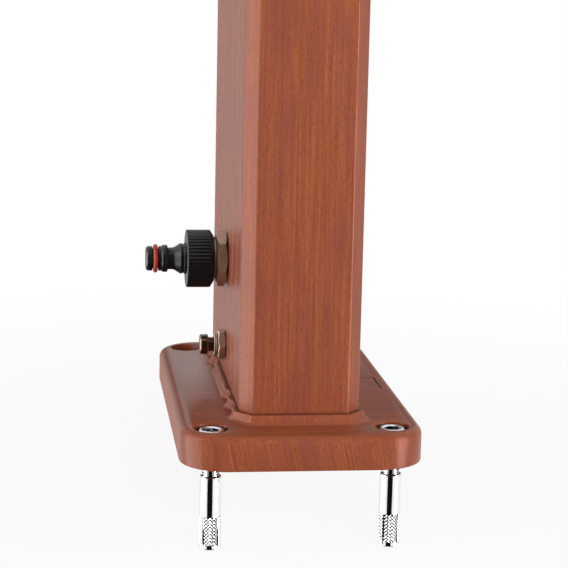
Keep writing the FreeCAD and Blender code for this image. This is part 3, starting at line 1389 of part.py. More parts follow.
def make_head():
    """The round head: a hollow shell and the plate with the nozzles."""
    boss_foot = -D.ball_seat_foot - D.head_boss_length
    crown_foot = boss_foot - D.head_crown_height
    rim_foot = crown_foot - D.head_rim_height
    shoulder = boss_foot - D.head_shoulder_drop
    inner_radius = D.head_radius - D.head_wall
    shell = new_body("head_shell", *head_place)
    turn_profile(shell, "Z", [
        (-D.ball_seat_foot, D.head_bore),
        (-D.ball_seat_foot, D.head_boss_radius),
        (boss_foot, D.head_boss_radius),
        (shoulder, D.head_shoulder_radius),
        (crown_foot, D.head_radius),
        (rim_foot, D.head_radius),
        (rim_foot, inner_radius),
        (crown_foot - D.head_wall, inner_radius),
        (shoulder - D.head_wall, D.head_shoulder_radius),
        (boss_foot - D.head_wall, D.head_boss_radius),
        (boss_foot - D.head_wall, D.head_bore),
    ])

    plate = new_body("nozzle_plate", *head_place)
    turn_profile(plate, "Z", tube_profile(rim_foot, rim_foot + D.plate_thickness, inner_radius - D.thread_gap))
    spoke = [(D.nozzle_spacing * (ring + 1), 0) for ring in range(NOZZLE_RINGS)]
    nubs = add_pad(plate, new_sketch(plate, "XY_Plane", circles=circles_at(spoke, D.nozzle_radius),
                                     lift=rim_foot), D.nozzle_length, backwards=True)
    repeat_around(plate, nubs)
    holes = new_sketch(plate, "XY_Plane", circles=circles_at(spoke, D.nozzle_bore),
                       lift=rim_foot - D.nozzle_length)
    repeat_around(plate, add_pocket(plate, holes, D.nozzle_length + D.plate_thickness, backwards=True))


def repeat_around(body, feature):
    """Repeats a feature around the body's Z axis, once for each spoke of nozzles."""
    pattern = body.newObject("PartDesign::PolarPattern", f"{body.Name}_pattern")
    pattern.Originals = [feature]
    pattern.Axis = (plane_axis(body), [""])
    pattern.Angle = FULL_TURN
    pattern.Occurrences = NOZZLE_SPOKES
    body.Tip = pattern


def plane_axis(body):
    """The body's own Z axis."""
    return next(item for item in body.Origin.OriginFeatures if item.Role == "Z_Axis")


# ---------------------------------------------------------------------------------------------------------
# Build
# ---------------------------------------------------------------------------------------------------------
make_foot()
make_anchors()
make_foot_screws()
make_column()
make_bottom_plug()
make_top_cap()
inlet_thread_end, inlet_nut_end, inlet_tail_end = make_inlet()
make_coupling(inlet_thread_end)
make_tee(inlet_nut_end, inlet_tail_end)
make_check_valve()
make_drain()
make_pipes()
make_mixer_housing()
make_cartridge()
make_lever()
make_arm()
make_ball_joint()
make_head()

doc.recompute()
os.makedirs("parts", exist_ok=True)
for item in doc.Objects:
    if "Invalid" in item.State or "Error" in item.State:
        raise RuntimeError(f"{item.Label} failed: {item.State}")
for body in PARTS:
    if body.Shape.isNull() or not body.Shape.isValid():
        raise RuntimeError(f"{body.Label} has no valid shape")
for body in PARTS:
    body.Shape.exportStep(f"parts/{body.Label}.step")
    print(f"{body.Label}: {len(body.Shape.Solids)} solid(s), {body.Shape.Volume / 1000:.2f} cm3")
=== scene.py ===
"""Outdoor shower post: wood-look tank column, foot, hose inlet, drain, mixer, arm and head."""

import logging
import math
from collections.abc import Callable, Sequence
from dataclasses import dataclass
from enum import Enum

import bmesh
import bpy
from mathutils import Matrix, Vector


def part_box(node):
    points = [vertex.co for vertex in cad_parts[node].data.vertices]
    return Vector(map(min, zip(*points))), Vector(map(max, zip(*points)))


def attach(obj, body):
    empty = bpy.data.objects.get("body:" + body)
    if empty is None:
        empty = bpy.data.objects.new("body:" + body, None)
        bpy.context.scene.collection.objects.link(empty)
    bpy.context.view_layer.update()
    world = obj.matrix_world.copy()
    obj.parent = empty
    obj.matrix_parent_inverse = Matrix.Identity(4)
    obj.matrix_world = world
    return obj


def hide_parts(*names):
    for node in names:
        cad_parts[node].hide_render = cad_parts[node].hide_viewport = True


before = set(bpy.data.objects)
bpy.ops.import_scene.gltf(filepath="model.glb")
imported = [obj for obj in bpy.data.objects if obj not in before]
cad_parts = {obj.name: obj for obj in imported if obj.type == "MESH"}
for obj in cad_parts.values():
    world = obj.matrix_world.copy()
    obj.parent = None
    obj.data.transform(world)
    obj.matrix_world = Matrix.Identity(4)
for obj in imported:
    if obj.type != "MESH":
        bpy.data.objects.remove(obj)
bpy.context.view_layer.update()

MM = 0.001
LOG = logging.getLogger("shower_post")

# heights in mm of what goes through the column's wall
INLET_HEIGHT = 98.2
DRAIN_HEIGHT = 45.0
MIXER_HEIGHT = 1050.0
ARM_HEIGHT = 2040.0

WHITE = (1.0, 1.0, 1.0, 1.0)
# depth in metres of orange peel, and of the relief that tools and moulds leave
PEEL_RELIEF = 0.00012
FINE_RELIEF = 0.0001
# share of the painted shade's colour where no light reaches
DEEPEST = 0.95
# two levels or lines closer than this many mm are the same one
NEAR = 0.1
# what every rounding and every spin round +Z share
ROUNDING = {"offset_type": "OFFSET", "profile": 0.5, "material": -1}
ROUND_Z = {"cent": (0, 0, 0), "axis": (0, 0, 1), "use_duplicate": False}

Point2 = tuple[float, float]
Point3 = tuple[float, float, float]
Colour = tuple[float, float, float, float]
Profile = Sequence[tuple[float, ...]]
Node = bpy.types.Node
Socket = bpy.types.NodeSocket
Tree = bpy.types.NodeTree
Edge = bmesh.types.BMEdge


def linear(code: str) -> Colour:
    """Turns an sRGB hex colour into linear RGBA.

    Args:
        code: six hex digits.

    Returns:
        Linear red, green, blue and an alpha of 1.
    """
    channels = (int(code[i : i + 2], 16) / 255 for i in (0, 2, 4))
    red, green, blue = (
        c / 12.92 if c <= 0.04045 else ((c + 0.055) / 1.055) ** 2.4 for c in channels
    )
    return red, green, blue, 1.0


def add_node(
    tree: Tree, kind: str, inputs: dict[str | int, object] | None = None, **settings: object
) -> Node:
    """Adds a node with its settings, its values and its links.

    Args:
        tree: the node tree that takes it.
        kind: the node's type name.
        inputs: socket name or number to a value, or to the output that feeds it.
        **settings: properties of the node.

    Returns:
        The node.
    """
    node = tree.nodes.new(kind)
    for name, value in settings.items():
        setattr(node, name, value)
    for socket, value in (inputs or {}).items():
        if isinstance(value, Socket):
            tree.links.new(value, node.inputs[socket])
        else:
            node.inputs[socket].default_value = value
    return node


def noise(
    tree: Tree, place: Socket, cell: Point3, detail: float, rough: float = 0.5, bent: float = 0.0
) -> Socket:
    """Adds noise whose cells have a real size.

    Args:
        tree: the material's tree.
        place: coordinates in metres.
        cell: size of a cell along X, Y and Z in mm.
        detail: how many finer layers it has.
        rough: how strong they are.
        bent: how far it is distorted.

    Returns:
        The noise, about 0.5.
    """
    scale = tuple(1 / (size * MM) for size in cell)
    sized = add_node(tree, "ShaderNodeMapping", {"Vector": place, "Scale": scale})
    inputs = {"Vector": sized.outputs[0], "Scale": 1.0, "Detail": detail}
    inputs |= {"Roughness": rough, "Distortion": bent}
    return add_node(tree, "ShaderNodeTexNoise", inputs).outputs[0]


def span(
    tree: Tree,
    value: Socket,
    low: float = 0.0,
    high: float = 1.0,
    start: float = 0.0,
    end: float = 1.0,
    curve: str = "LINEAR",
) -> Socket:
    """Maps a value from low and high to start and end, and clamps it there."""
    inputs = {"Value": value, "From Min": low, "From Max": high, "To Min": start, "To Max": end}
    return add_node(tree, "ShaderNodeMapRange", inputs, interpolation_type=curve).outputs[0]


def blend(tree: Tree, share: Socket, first: Colour | Socket, second: Colour) -> Socket:
    """Mixes a share of the second colour into the first."""
    inputs = {0: share, 6: first, 7: second}
    return add_node(tree, "ShaderNodeMix", inputs, data_type="RGBA").outputs[2]


def painted_hollow_shade(
    tree: Tree, colour: Socket, shade_colour: str, reach: float, shut: float, clear: float
) -> Socket:
    """Paints shade into the corners, holes and grooves that light hardly reaches.

    Args:
        tree: the material's tree.
        colour: the surface's colour.
        shade_colour: the painted shade's colour deep inside, in hex.
        reach: how wide a groove still counts as one, in mm.
        shut: how open a place is, from 0 to 1, where the painted shade is at its darkest.
        clear: how open a place is where it ends.

    Returns:
        The colour.
    """
    # painted shade: the colour darkens where ambient occlusion finds the place closed in
    light = add_node(tree, "ShaderNodeAmbientOcclusion", {"Distance": reach * MM}, samples=8)
    hidden = span(tree, light.outputs["AO"], shut, clear, DEEPEST, 0.0)
    return blend(tree, hidden, colour, linear(shade_colour))


def coat(
    tree: Tree,
    colour: Socket,
    waves: Socket,
    gloss: Point2,
    relief: Point2,
    more: dict[str, float],
) -> Node:
    """Ends a tree with a shader whose gloss and bump follow the same fine waves.

    Args:
        tree: the material's tree.
        colour: the surface's colour.
        waves: the waves, from 0 to 1.
        gloss: lowest and highest roughness.
        relief: the bump's strength, and its depth in metres.
        more: further inputs of the shader.

    Returns:
        The shader.
    """
    bump = add_node(
        tree, "ShaderNodeBump", {"Height": waves, "Strength": relief[0], "Distance": relief[1]}
    )
    inputs = {
        "Base Color": colour,
        "Roughness": span(tree, waves, start=gloss[0], end=gloss[1]),
        "Normal": bump.outputs[0],
    }
    return add_node(tree, "ShaderNodeBsdfPrincipled", inputs | more)


def empty_material(name: str) -> bpy.types.Material:
    """Makes a material with an empty tree.

    Args:
        name: its name.

    Returns:
        The material.
    """
    made = bpy.data.materials.new(name)
    made.use_nodes = True
    made.node_tree.nodes.clear()
    return made


class Slot(Enum):
    """Material slots of the part's record."""

    COLUMN_WOOD = "wood_column"
    FOOT_WOOD = "wood_foot"
    BRIGHT_STEEL = "bright_steel"
    SCREW_STEEL = "screw_steel"
    NICKEL = "nickel_brass"
    BRASS = "plain_brass"
    BLACK_PLASTIC = "black_plastic"
    DARK_PLASTIC = "dark_plastic"
    BLACK_RUBBER = "black_rubber"
    RED_RUBBER = "red_rubber"
    PIPE_STEEL = "pipe_steel"
    CHROME = "bright_chrome"
    CERAMIC = "white_ceramic"
    INDEX = "index_plastic"
    NOZZLE = "nozzle_plastic"


class Body(Enum):
    """Bodies of the frame that the dressed pieces ride on."""

    POST = "post"
    CONNECTOR = "hose_connector"
    COUPLING = "coupling_ring"
    DRAIN_KNOB = "drain_knob"


class Grain(Enum):
    """Which way the printed grain runs."""

    UPRIGHT = "upright"
    ACROSS_TOP = "across_top"


# ---------------------------------------------------------------- finishes


@dataclass(frozen=True)
class Finish:
    """A surface finish; each kind fills a new material's tree.

    Attributes:
        name: the material's name.
        slot: the record's slot that it belongs to; not used.
    """

    name: str
    slot: Slot

    def material(self) -> bpy.types.Material:
        """Makes the finish's material at its first use.

        Returns:
            The material.
        """
        found = bpy.data.materials.get(self.name)
        if found is not None:
            return found
        made = empty_material(self.name)
        shader = self.shade(made.node_tree)
        add_node(made.node_tree, "ShaderNodeOutputMaterial", {"Surface": shader.outputs[0]})
        return made

    def shade(self, tree: Tree) -> Node:
        """Fills the tree and returns its last shader; each kind of finish has its own."""
        raise NotImplementedError


@dataclass(frozen=True)
class WoodPrint(Finish):
    """Powder coat with a heat-transferred cherry grain: satin, with printed streaks and pores.

    Attributes:
        base: the ground colour.
        light: the lighter streaks.
        dark: the pores.
        mauve: the cooler figure and flecks between them.
        hollow_shade_colour: colour of the painted shade in corners and holes that the light hardly
            reaches.
        reach: how wide such a corner is, in mm.
        grain: which way the grain runs.
        roughness: roughness of the coat.
        sheen: specular level of the coat.
    """

    base: str = "914727"
    light: str = "B06540"
    dark: str = "682C10"
    mauve: str = "8E4A3A"
    hollow_shade_colour: str = "261006"
    reach: float = 14.0
    grain: Grain = Grain.UPRIGHT
    roughness: float = 0.31
    sheen: float = 0.2

    def streaks(
        self, tree: Tree, place: Socket, lean: float, upright: bool
    ) -> tuple[Socket, Socket, Socket]:
        """Adds the grain of one direction.

        Args:
            tree: the material's tree.
            place: Object coordinates.
            lean: how far the grain leans, in degrees about Y.
            upright: True for grain up Z, False for grain along X.

        Returns:
            Fine streaks, broad figure and pores.
        """

        def cell(across: float, along: float) -> Point3:
            """Gives a cell's size for this direction of grain, in mm."""
            return (across, across, along) if upright else (along, across, across)

        rotation = (0.0, math.radians(lean), 0.0)
        turned = add_node(tree, "ShaderNodeMapping", {"Vector": place, "Rotation": rotation})
        grown = turned.outputs[0]
        # streaks about 1.4 mm wide and 70 mm long, as on a printed cherry veneer
        fine = noise(tree, grown, cell(1.4, 70), 4.0, rough=0.62)
        # the tree's figure: bands about 9 mm wide that wander over 70 mm
        broad = noise(tree, grown, cell(9, 70), 2.0, bent=0.6)
        # pores: short dashes 0.6 mm wide and 3 mm long
        pores = noise(tree, grown, cell(0.6, 3), 1.0)
        return fine, broad, span(tree, pores, 0.54, 0.7)

    def shade(self, tree: Tree) -> Node:
        """Fills the tree: streaks and pores over the ground colour, painted shade in its hollows,
        under a satin coat.

        Args:
            tree: the material's tree.

        Returns:
            The shader.
        """
        where = add_node(tree, "ShaderNodeTexCoord")
        place = where.outputs["Object"]
        if self.grain is Grain.UPRIGHT:
            fine, broad, pores = self.streaks(tree, place, 0.0, True)
        else:
            # the print is wrapped over the casting: across its top, leaning on its sides
            normal = add_node(tree, "ShaderNodeSeparateXYZ", {"Vector": where.outputs["Normal"]})
            facing_up = span(tree, normal.outputs[2], 0.55, 0.85)
            sides = self.streaks(tree, place, 12.0, True)
            top = self.streaks(tree, place, 0.0, False)
            fine, broad, pores = (
                add_node(
                    tree, "ShaderNodeMix", {0: facing_up, 2: side, 3: above}, data_type="FLOAT"
                ).outputs[0]
                for side, above in zip(sides, top)
            )
        mauve = linear(self.mauve)
        colour = blend(tree, span(tree, fine, 0.3, 0.7), linear(self.base), linear(self.light))
        colour = blend(tree, span(tree, broad, 0.38, 0.66, end=0.75), colour, mauve)
        # flecks of about 1 x 2 mm, cooler than the ground, as the print's second screen leaves
        flecks = noise(tree, place, (0.9, 0.9, 1.8), 3.0, rough=0.6)
        colour = blend(tree, span(tree, flecks, 0.4, 0.62, end=0.45), colour, mauve)
        colour = blend(tree, span(tree, pores, end=0.36), colour, linear(self.dark))
        # painted shade: corners, holes and the foot's top beside the column darken where ambient
        # occlusion finds them
        colour = painted_hollow_shade(tree, colour, self.hollow_shade_colour, self.reach, 0.25, 0.74)
        # the powder's orange peel, waves of about 1.5 mm
        peel = noise(tree, place, (1.5, 1.5, 1.5), 2.0)
        gloss = (self.roughness - 0.05, self.roughness + 0.06)
        sheen = {"Specular IOR Level": self.sheen}
        return coat(tree, colour, peel, gloss, (0.12, PEEL_RELIEF), sheen)


@dataclass(frozen=True)
class Metal(Finish):
    """Plated, drawn or turned metal: a tint, fine working marks and slight clouding.

    Attributes:
        tint: the metal's colour.
        roughness: middle roughness.
        spread: how far the roughness wanders either way.
        marks: cell size of the working marks along X, Y and Z, in mm.
        mark_depth: strength of the marks' bump.
        stain: colour of faint darker clouding.
        stain_amount: share of the clouding.
        metallic: share of bare metal; the rest is a dull skin.
        hollow_shade_colour: colour of the painted shade in grooves and sockets.
        reach: how wide a groove still counts as one, in mm.
        open_from: how open a place is, from 0 to 1, before the painted shade has quite gone.
    """

    tint: str = "E6E6E8"
    roughness: float = 0.1
    spread: float = 0.03
    marks: Point3 = (0.6, 0.6, 0.6)
    mark_depth: float = 0.03
    stain: str = "B8B8BC"
    stain_amount: float = 0.25
    metallic: float = 1.0
    hollow_shade_colour: str = "2A2622"
    reach: float = 5.0
    open_from: float = 0.85

    def shade(self, tree: Tree) -> Node:
        """Fills the tree: clouded tint with painted shade in hollows, wandering gloss and working
        marks.

        Args:
            tree: the material's tree.

        Returns:
            The shader.
        """
        place = add_node(tree, "ShaderNodeTexCoord").outputs["Object"]
        # clouding in patches of about 9 mm, as handling and drying water leave
        clouds = noise(tree, place, (9, 9, 9), 3.0)
        share = span(tree, clouds, 0.4, 0.75, end=self.stain_amount)
        colour = blend(tree, share, linear(self.tint), linear(self.stain))
        # painted shade: sockets, grooves and thread roots darken where ambient occlusion finds
        # them
        colour = painted_hollow_shade(tree, colour, self.hollow_shade_colour, self.reach, 0.35, self.open_from)
        marks = noise(tree, place, self.marks, 2.0)
        gloss = (max(self.roughness - self.spread, 0.02), self.roughness + self.spread)
        relief = (self.mark_depth, FINE_RELIEF)
        return coat(tree, colour, marks, gloss, relief, {"Metallic": self.metallic})


@dataclass(frozen=True)
class Moulded(Finish):
    """Moulded plastic, rubber or ceramic: body colour, a fine grain and faint scuffs.

    Attributes:
        colour: the body colour.
        scuffed: colour of rubbed and dusty places.
        scuff_amount: share of the scuffs.
        roughness: middle roughness.
        grain_size: the mould's grain in mm.
        grain_depth: strength of the grain's bump.
        ior: refractive index.
    """

    colour: str = "1C1C1E"
    scuffed: str = "343438"
    scuff_amount: float = 0.3
    roughness: float = 0.4
    grain_size: float = 0.5
    grain_depth: float = 0.1
    ior: float = 1.5

    def shade(self, tree: Tree) -> Node:
        """Fills the tree: body colour with scuffs, and the mould's grain.

        Args:
            tree: the material's tree.

        Returns:
            The shader.
        """
        place = add_node(tree, "ShaderNodeTexCoord").outputs["Object"]
        # scuffs in patches of about 4 mm
        patches = noise(tree, place, (4, 4, 4), 4.0, rough=0.6)
        share = span(tree, patches, 0.45, 0.8, end=self.scuff_amount)
        colour = blend(tree, share, linear(self.colour), linear(self.scuffed))
        grain = noise(tree, place, (self.grain_size,) * 3, 2.0)
        gloss = (self.roughness - 0.05, self.roughness + 0.08)
        return coat(tree, colour, grain, gloss, (self.grain_depth, FINE_RELIEF), {"IOR": self.ior})


# powder-coated aluminium with a printed cherry grain: satin, warm brown, pinkish where it mirrors
COLUMN_PRINT = WoodPrint("cherry_print_on_powder_coat", Slot.COLUMN_WOOD)
# the same print on the cast foot, laid across its top
FOOT_PRINT = WoodPrint(
    "cherry_print_on_cast_foot", Slot.FOOT_WOOD, grain=Grain.ACROSS_TOP, sheen=0.16
)
# bright chrome on brass: mirrors the room, with the faintest haze
CHROME = Metal("bright_chrome_plate", Slot.CHROME, tint="E8E9EC", roughness=0.06, spread=0.02)
# polished zinc plate on the anchors: nearly as bright as chrome, a little softer
BRIGHT_ZINC = Metal(
    "polished_zinc_plate", Slot.BRIGHT_STEEL, tint="F0F1F4", roughness=0.09, mark_depth=0.02
)
# the same plate on the knurled sleeves, with painted shade in the fine grooves
SLEEVE_ZINC = Metal(
    "polished_zinc_on_knurl", Slot.BRIGHT_STEEL, tint="F0F1F4", roughness=0.09,
    mark_depth=0.02, hollow_shade_colour="303034", reach=1.2, open_from=0.93,
)
# blued and oiled screw steel: dark grey, half matt
SCREW_STEEL = Metal(
    "plain_screw_steel", Slot.SCREW_STEEL, tint="A9A9AC", roughness=0.3, mark_depth=0.08
)
# satin nickel over brass: a warm grey whose brown is a painted reflection of the wood
NICKEL = Metal(
    "satin_nickel_on_brass", Slot.NICKEL, tint="C2AC9A", roughness=0.36, spread=0.08,
    marks=(2.5, 0.35, 0.35), mark_depth=0.12, stain="857061", stain_amount=0.45,
    metallic=0.8, hollow_shade_colour="5A4836", reach=1.5,
)
# the drain's screw: the same plate worn and tarnished, nearly black where it mirrors the floor
TARNISHED = Metal(
    "tarnished_nickel_on_screw", Slot.NICKEL, tint="7A6A5C", roughness=0.27,
    stain="33271E", stain_amount=0.6,
)
# turned brass, unplated: yellow, with fine tool marks
BRASS = Metal(
    "turned_brass", Slot.BRASS, tint="D9B66A", roughness=0.25, marks=(1.5, 1.5, 0.25),
    mark_depth=0.1, stain="9C7A3C",
)
# drawn stainless tube: fine lines along it
PIPE_STEEL = Metal(
    "drawn_stainless_tube", Slot.PIPE_STEEL, tint="C8C9CB", roughness=0.26,
    marks=(0.4, 0.4, 6.0), mark_depth=0.1,
)
# glass-filled nylon: a bluish black, satin, with a fine mould grain
BLACK_PLASTIC = Moulded(
    "black_glass_filled_nylon", Slot.BLACK_PLASTIC, "0D1013", "20262A", roughness=0.32
)
# ABS of the plugs: dark brown, half matt
DARK_PLASTIC = Moulded("charcoal_abs", Slot.DARK_PLASTIC, "3A2A22", "554238", roughness=0.5)
# EPDM: black and matt
BLACK_RUBBER = Moulded("black_epdm_rubber", Slot.BLACK_RUBBER, "141414", "2A2A2A", roughness=0.7)
# red silicone ring, slightly greased
RED_RUBBER = Moulded(
    "red_silicone_ring", Slot.RED_RUBBER, "AE3A30", "8C2A24", roughness=0.35,
    grain_size=0.8, ior=1.43,
)
# sintered alumina disc: white, polished
CERAMIC = Moulded("white_alumina", Slot.CERAMIC, "F0EEE8", "D8D4CC", roughness=0.18, ior=1.76)
# the lever's index: plain grey acetal, slightly glossy
INDEX = Moulded("grey_acetal_index", Slot.INDEX, "8A8D92", "A0A3A8", roughness=0.3)
# silicone nozzles: soft grey and matt, so that lime can be rubbed off
NOZZLE = Moulded("grey_silicone_nozzles", Slot.NOZZLE, "6E7276", "8A8E92", roughness=0.55)


# ---------------------------------------------------------------- shapes


class Axis(Enum):
    """Directions that a turned or drawn form points in, as columns of its rotation."""

    UP = ((1, 0, 0), (0, 1, 0), (0, 0, 1))
    LEFT = ((0, 0, 1), (0, 1, 0), (-1, 0, 0))
    FRONT = ((1, 0, 0), (0, 0, 1), (0, -1, 0))

    def at(self, x: float = 0.0, y: float = 0.0, z: float = 0.0) -> Matrix:
        """Returns the matrix that turns +Z to this direction and moves it to x, y, z in mm."""
        turn = Matrix(self.value).transposed().to_4x4()
        return Matrix.Translation(Vector((x, y, z)) * MM) @ turn


def hexagon(flats: float, turn: float) -> list[Point2]:
    """Works out a hexagon's corners.

    Args:
        flats: its width across flats in mm.
        turn: how far it is turned, in degrees.

    Returns:
        The corners in mm.
    """
    corner = corner_radius(flats)
    angles = [math.radians(turn + 60 * k) for k in range(6)]
    return [(corner * math.cos(a), corner * math.sin(a)) for a in angles]


def corner_radius(flats: float) -> float:
    """Gives the radius over a hexagon's corners from its width across flats."""
    return flats / 2 / math.cos(math.pi / 6)


def upright(edge: Edge) -> bool:
    """Says whether an edge runs up Z."""
    along = edge.verts[1].co - edge.verts[0].co
    return abs(along.z) > 0.99 * along.length


class Shape:
    """A mesh in the making, in metres, from turned, drawn and threaded forms.

    Every form is made along +Z from sizes in mm and joined in where its matrix puts it.
    """

    def __init__(self) -> None:
        """Starts with an empty bmesh."""
        self.bm = bmesh.new()

    def join(self, part: bmesh.types.BMesh, place: Matrix) -> None:
        """Adds a finished form, its faces turned outwards.

        Args:
            part: the form, which is freed.
            place: where it goes.
        """
        bmesh.ops.recalc_face_normals(part, faces=part.faces)
        bmesh.ops.transform(part, matrix=place, verts=part.verts)
        mesh = bpy.data.meshes.new("form")
        part.to_mesh(mesh)
        part.free()
        self.bm.from_mesh(mesh)
        bpy.data.meshes.remove(mesh)

    def lathe(
        self, place: Matrix, profile: Profile, steps: int = 64, closed: bool = False
    ) -> None:
        """Turns a profile round +Z.

        Args:
            place: where the form goes.
            profile: along, radius and, where a corner is rounded, how much, in mm.
            steps: faces round it.
            closed: True joins the last point to the first, for a tube.
        """
        part = bmesh.new()
        corners = [part.verts.new((p[1] * MM, 0, p[0] * MM)) for p in profile]
        pairs = list(zip(corners, corners[1:]))
        if closed:
            pairs.append((corners[-1], corners[0]))
        for pair in pairs:
            part.edges.new(pair)
        rounded: dict[float, list[bmesh.types.BMVert]] = {}
        for corner, point in zip(corners, profile):
            if len(point) > 2:
                rounded.setdefault(point[2], []).append(corner)
        for amount, chosen in rounded.items():
            bmesh.ops.bevel(
                part, geom=chosen, offset=amount * MM, affect="VERTICES", segments=4, **ROUNDING
            )
        bmesh.ops.spin(
            part, geom=part.verts[:] + part.edges[:], dvec=(0, 0, 0), angle=math.tau,
            steps=steps, use_merge=True, **ROUND_Z,
        )
        bmesh.ops.remove_doubles(part, verts=part.verts, dist=1e-6)
        self.join(part, place)

    def prism(self, place: Matrix, outline: Sequence[Point2], start: float, end: float) -> None:
        """Draws an outline along +Z.

        Args:
            place: where the form goes.
            outline: corners in mm.
            start: where it starts, in mm.
            end: where it ends, in mm.
        """
        part = bmesh.new()
        ring = [part.verts.new((x * MM, y * MM, start * MM)) for x, y in outline]
        for pair in zip(ring, ring[1:] + ring[:1]):
            part.edges.new(pair)
        face = bmesh.ops.contextual_create(part, geom=part.edges[:])["faces"]
        self.extrude(part, face, end - start)
        self.join(part, place)

    def thread(
        self, place: Matrix, crest: float, root: float, pitch: float, start: float, end: float
    ) -> None:
        """Winds a thread's ridge round +Z.

        Args:
            place: where the form goes.
            crest: the ridge's outer radius in mm.
            root: the radius between the ridges in mm.
            pitch: rise of one turn in mm.
            start: where it starts, in mm.
            end: where it ends, in mm.
        """
        part = bmesh.new()
        # the ridge's feet lie a little inside the core
        sunk = root - 0.15
        flank = ((sunk, -0.5), (crest, -0.07), (crest, 0.07), (sunk, 0.5))
        first = start + pitch / 2
        ring = [part.verts.new((r * MM, 0, (first + share * pitch) * MM)) for r, share in flank]
        face = part.faces.new(ring)
        turns = (end - start - pitch) / pitch
        steps = 36
        bmesh.ops.spin(
            part, geom=[face, *face.edges, *face.verts], dvec=(0, 0, pitch * MM / steps),
            angle=math.tau * turns, steps=round(steps * turns), use_merge=False, **ROUND_Z,
        )
        self.join(part, place)

    @staticmethod
    def extrude(
        part: bmesh.types.BMesh, face: list[bmesh.types.BMFace], rise: float
    ) -> tuple[list[bmesh.types.BMFace], list[bmesh.types.BMVert]]:
        """Draws faces of a form along +Z.

        Args:
            part: the form.
            face: the faces.
            rise: how far, in mm.

        Returns:
            The drawn faces and their vertices.
        """
        # with its edges given, a face that walls already join is taken away, not left inside
        edges = [edge for one in face for edge in one.edges]
        risen = bmesh.ops.extrude_face_region(part, geom=face + edges)["geom"]
        lifted = [g for g in risen if isinstance(g, bmesh.types.BMVert)]
        bmesh.ops.translate(part, vec=(0, 0, rise * MM), verts=lifted)
        return [g for g in risen if isinstance(g, bmesh.types.BMFace)], lifted

    def soften(self, test: Callable[[Edge], bool], width: float, segments: int = 3) -> None:
        """Rounds the edges that pass a test.

        Args:
            test: says whether an edge is rounded.
            width: how far from the edge the rounding starts, in mm.
            segments: faces across the rounding.
        """
        chosen = [e for e in self.bm.edges if test(e)]
        bmesh.ops.bevel(
            self.bm, geom=chosen, offset=width * MM, affect="EDGES", segments=segments,
            clamp_overlap=True, **ROUNDING,
        )

    def boolean(self, other: "Shape", operation: str = "DIFFERENCE") -> None:
        """Cuts another shape out of this one, or keeps what they share.

        Args:
            other: the other shape, which is freed.
            operation: DIFFERENCE or INTERSECT.
        """
        own, tool = self.loose("own"), other.loose("tool")
        cut = own.modifiers.new("cut", "BOOLEAN")
        cut.operation = operation
        cut.solver = "EXACT"
        cut.object = tool
        graph = bpy.context.evaluated_depsgraph_get()
        result = bpy.data.meshes.new_from_object(own.evaluated_get(graph))
        self.bm.free()
        self.bm = bmesh.new()
        self.bm.from_mesh(result)
        other.bm.free()
        for thing in (own, tool):
            mesh = thing.data
            bpy.data.objects.remove(thing)
            bpy.data.meshes.remove(mesh)
        bpy.data.meshes.remove(result)

    def loose(self, name: str) -> bpy.types.Object:
        """Links the shape to the scene as an object of its own.

        Args:
            name: the object's name.

        Returns:
            The object.
        """
        mesh = bpy.data.meshes.new(name)
        self.bm.to_mesh(mesh)
        thing = bpy.data.objects.new(name, mesh)
        bpy.context.scene.collection.objects.link(thing)
        return thing

    def piece(
        self,
        name: str,
        body: Body,
        finish: Finish,
        replaces: Sequence[str] = (),
        smooth: float = 38.0,
    ) -> None:
        """Ends the shape as a piece of the model.

        Args:
            name: the piece's name.
            body: the body it rides on.
            finish: what it is finished in.
            replaces: CAD nodes that it stands for.
            smooth: edges sharper than this angle, in degrees, stay sharp.
        """
        thing = self.loose(name)
        self.bm.free()
        thing.data.materials.append(finish.material())
        thing.data.shade_smooth()
        thing.data.set_sharp_from_angle(angle=math.radians(smooth))
        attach(thing, body.value)
        if replaces:
            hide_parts(*replaces)
        LOG.info("%s: %d faces, on %s", name, len(thing.data.polygons), body.value)


# ---------------------------------------------------------------- column and foot


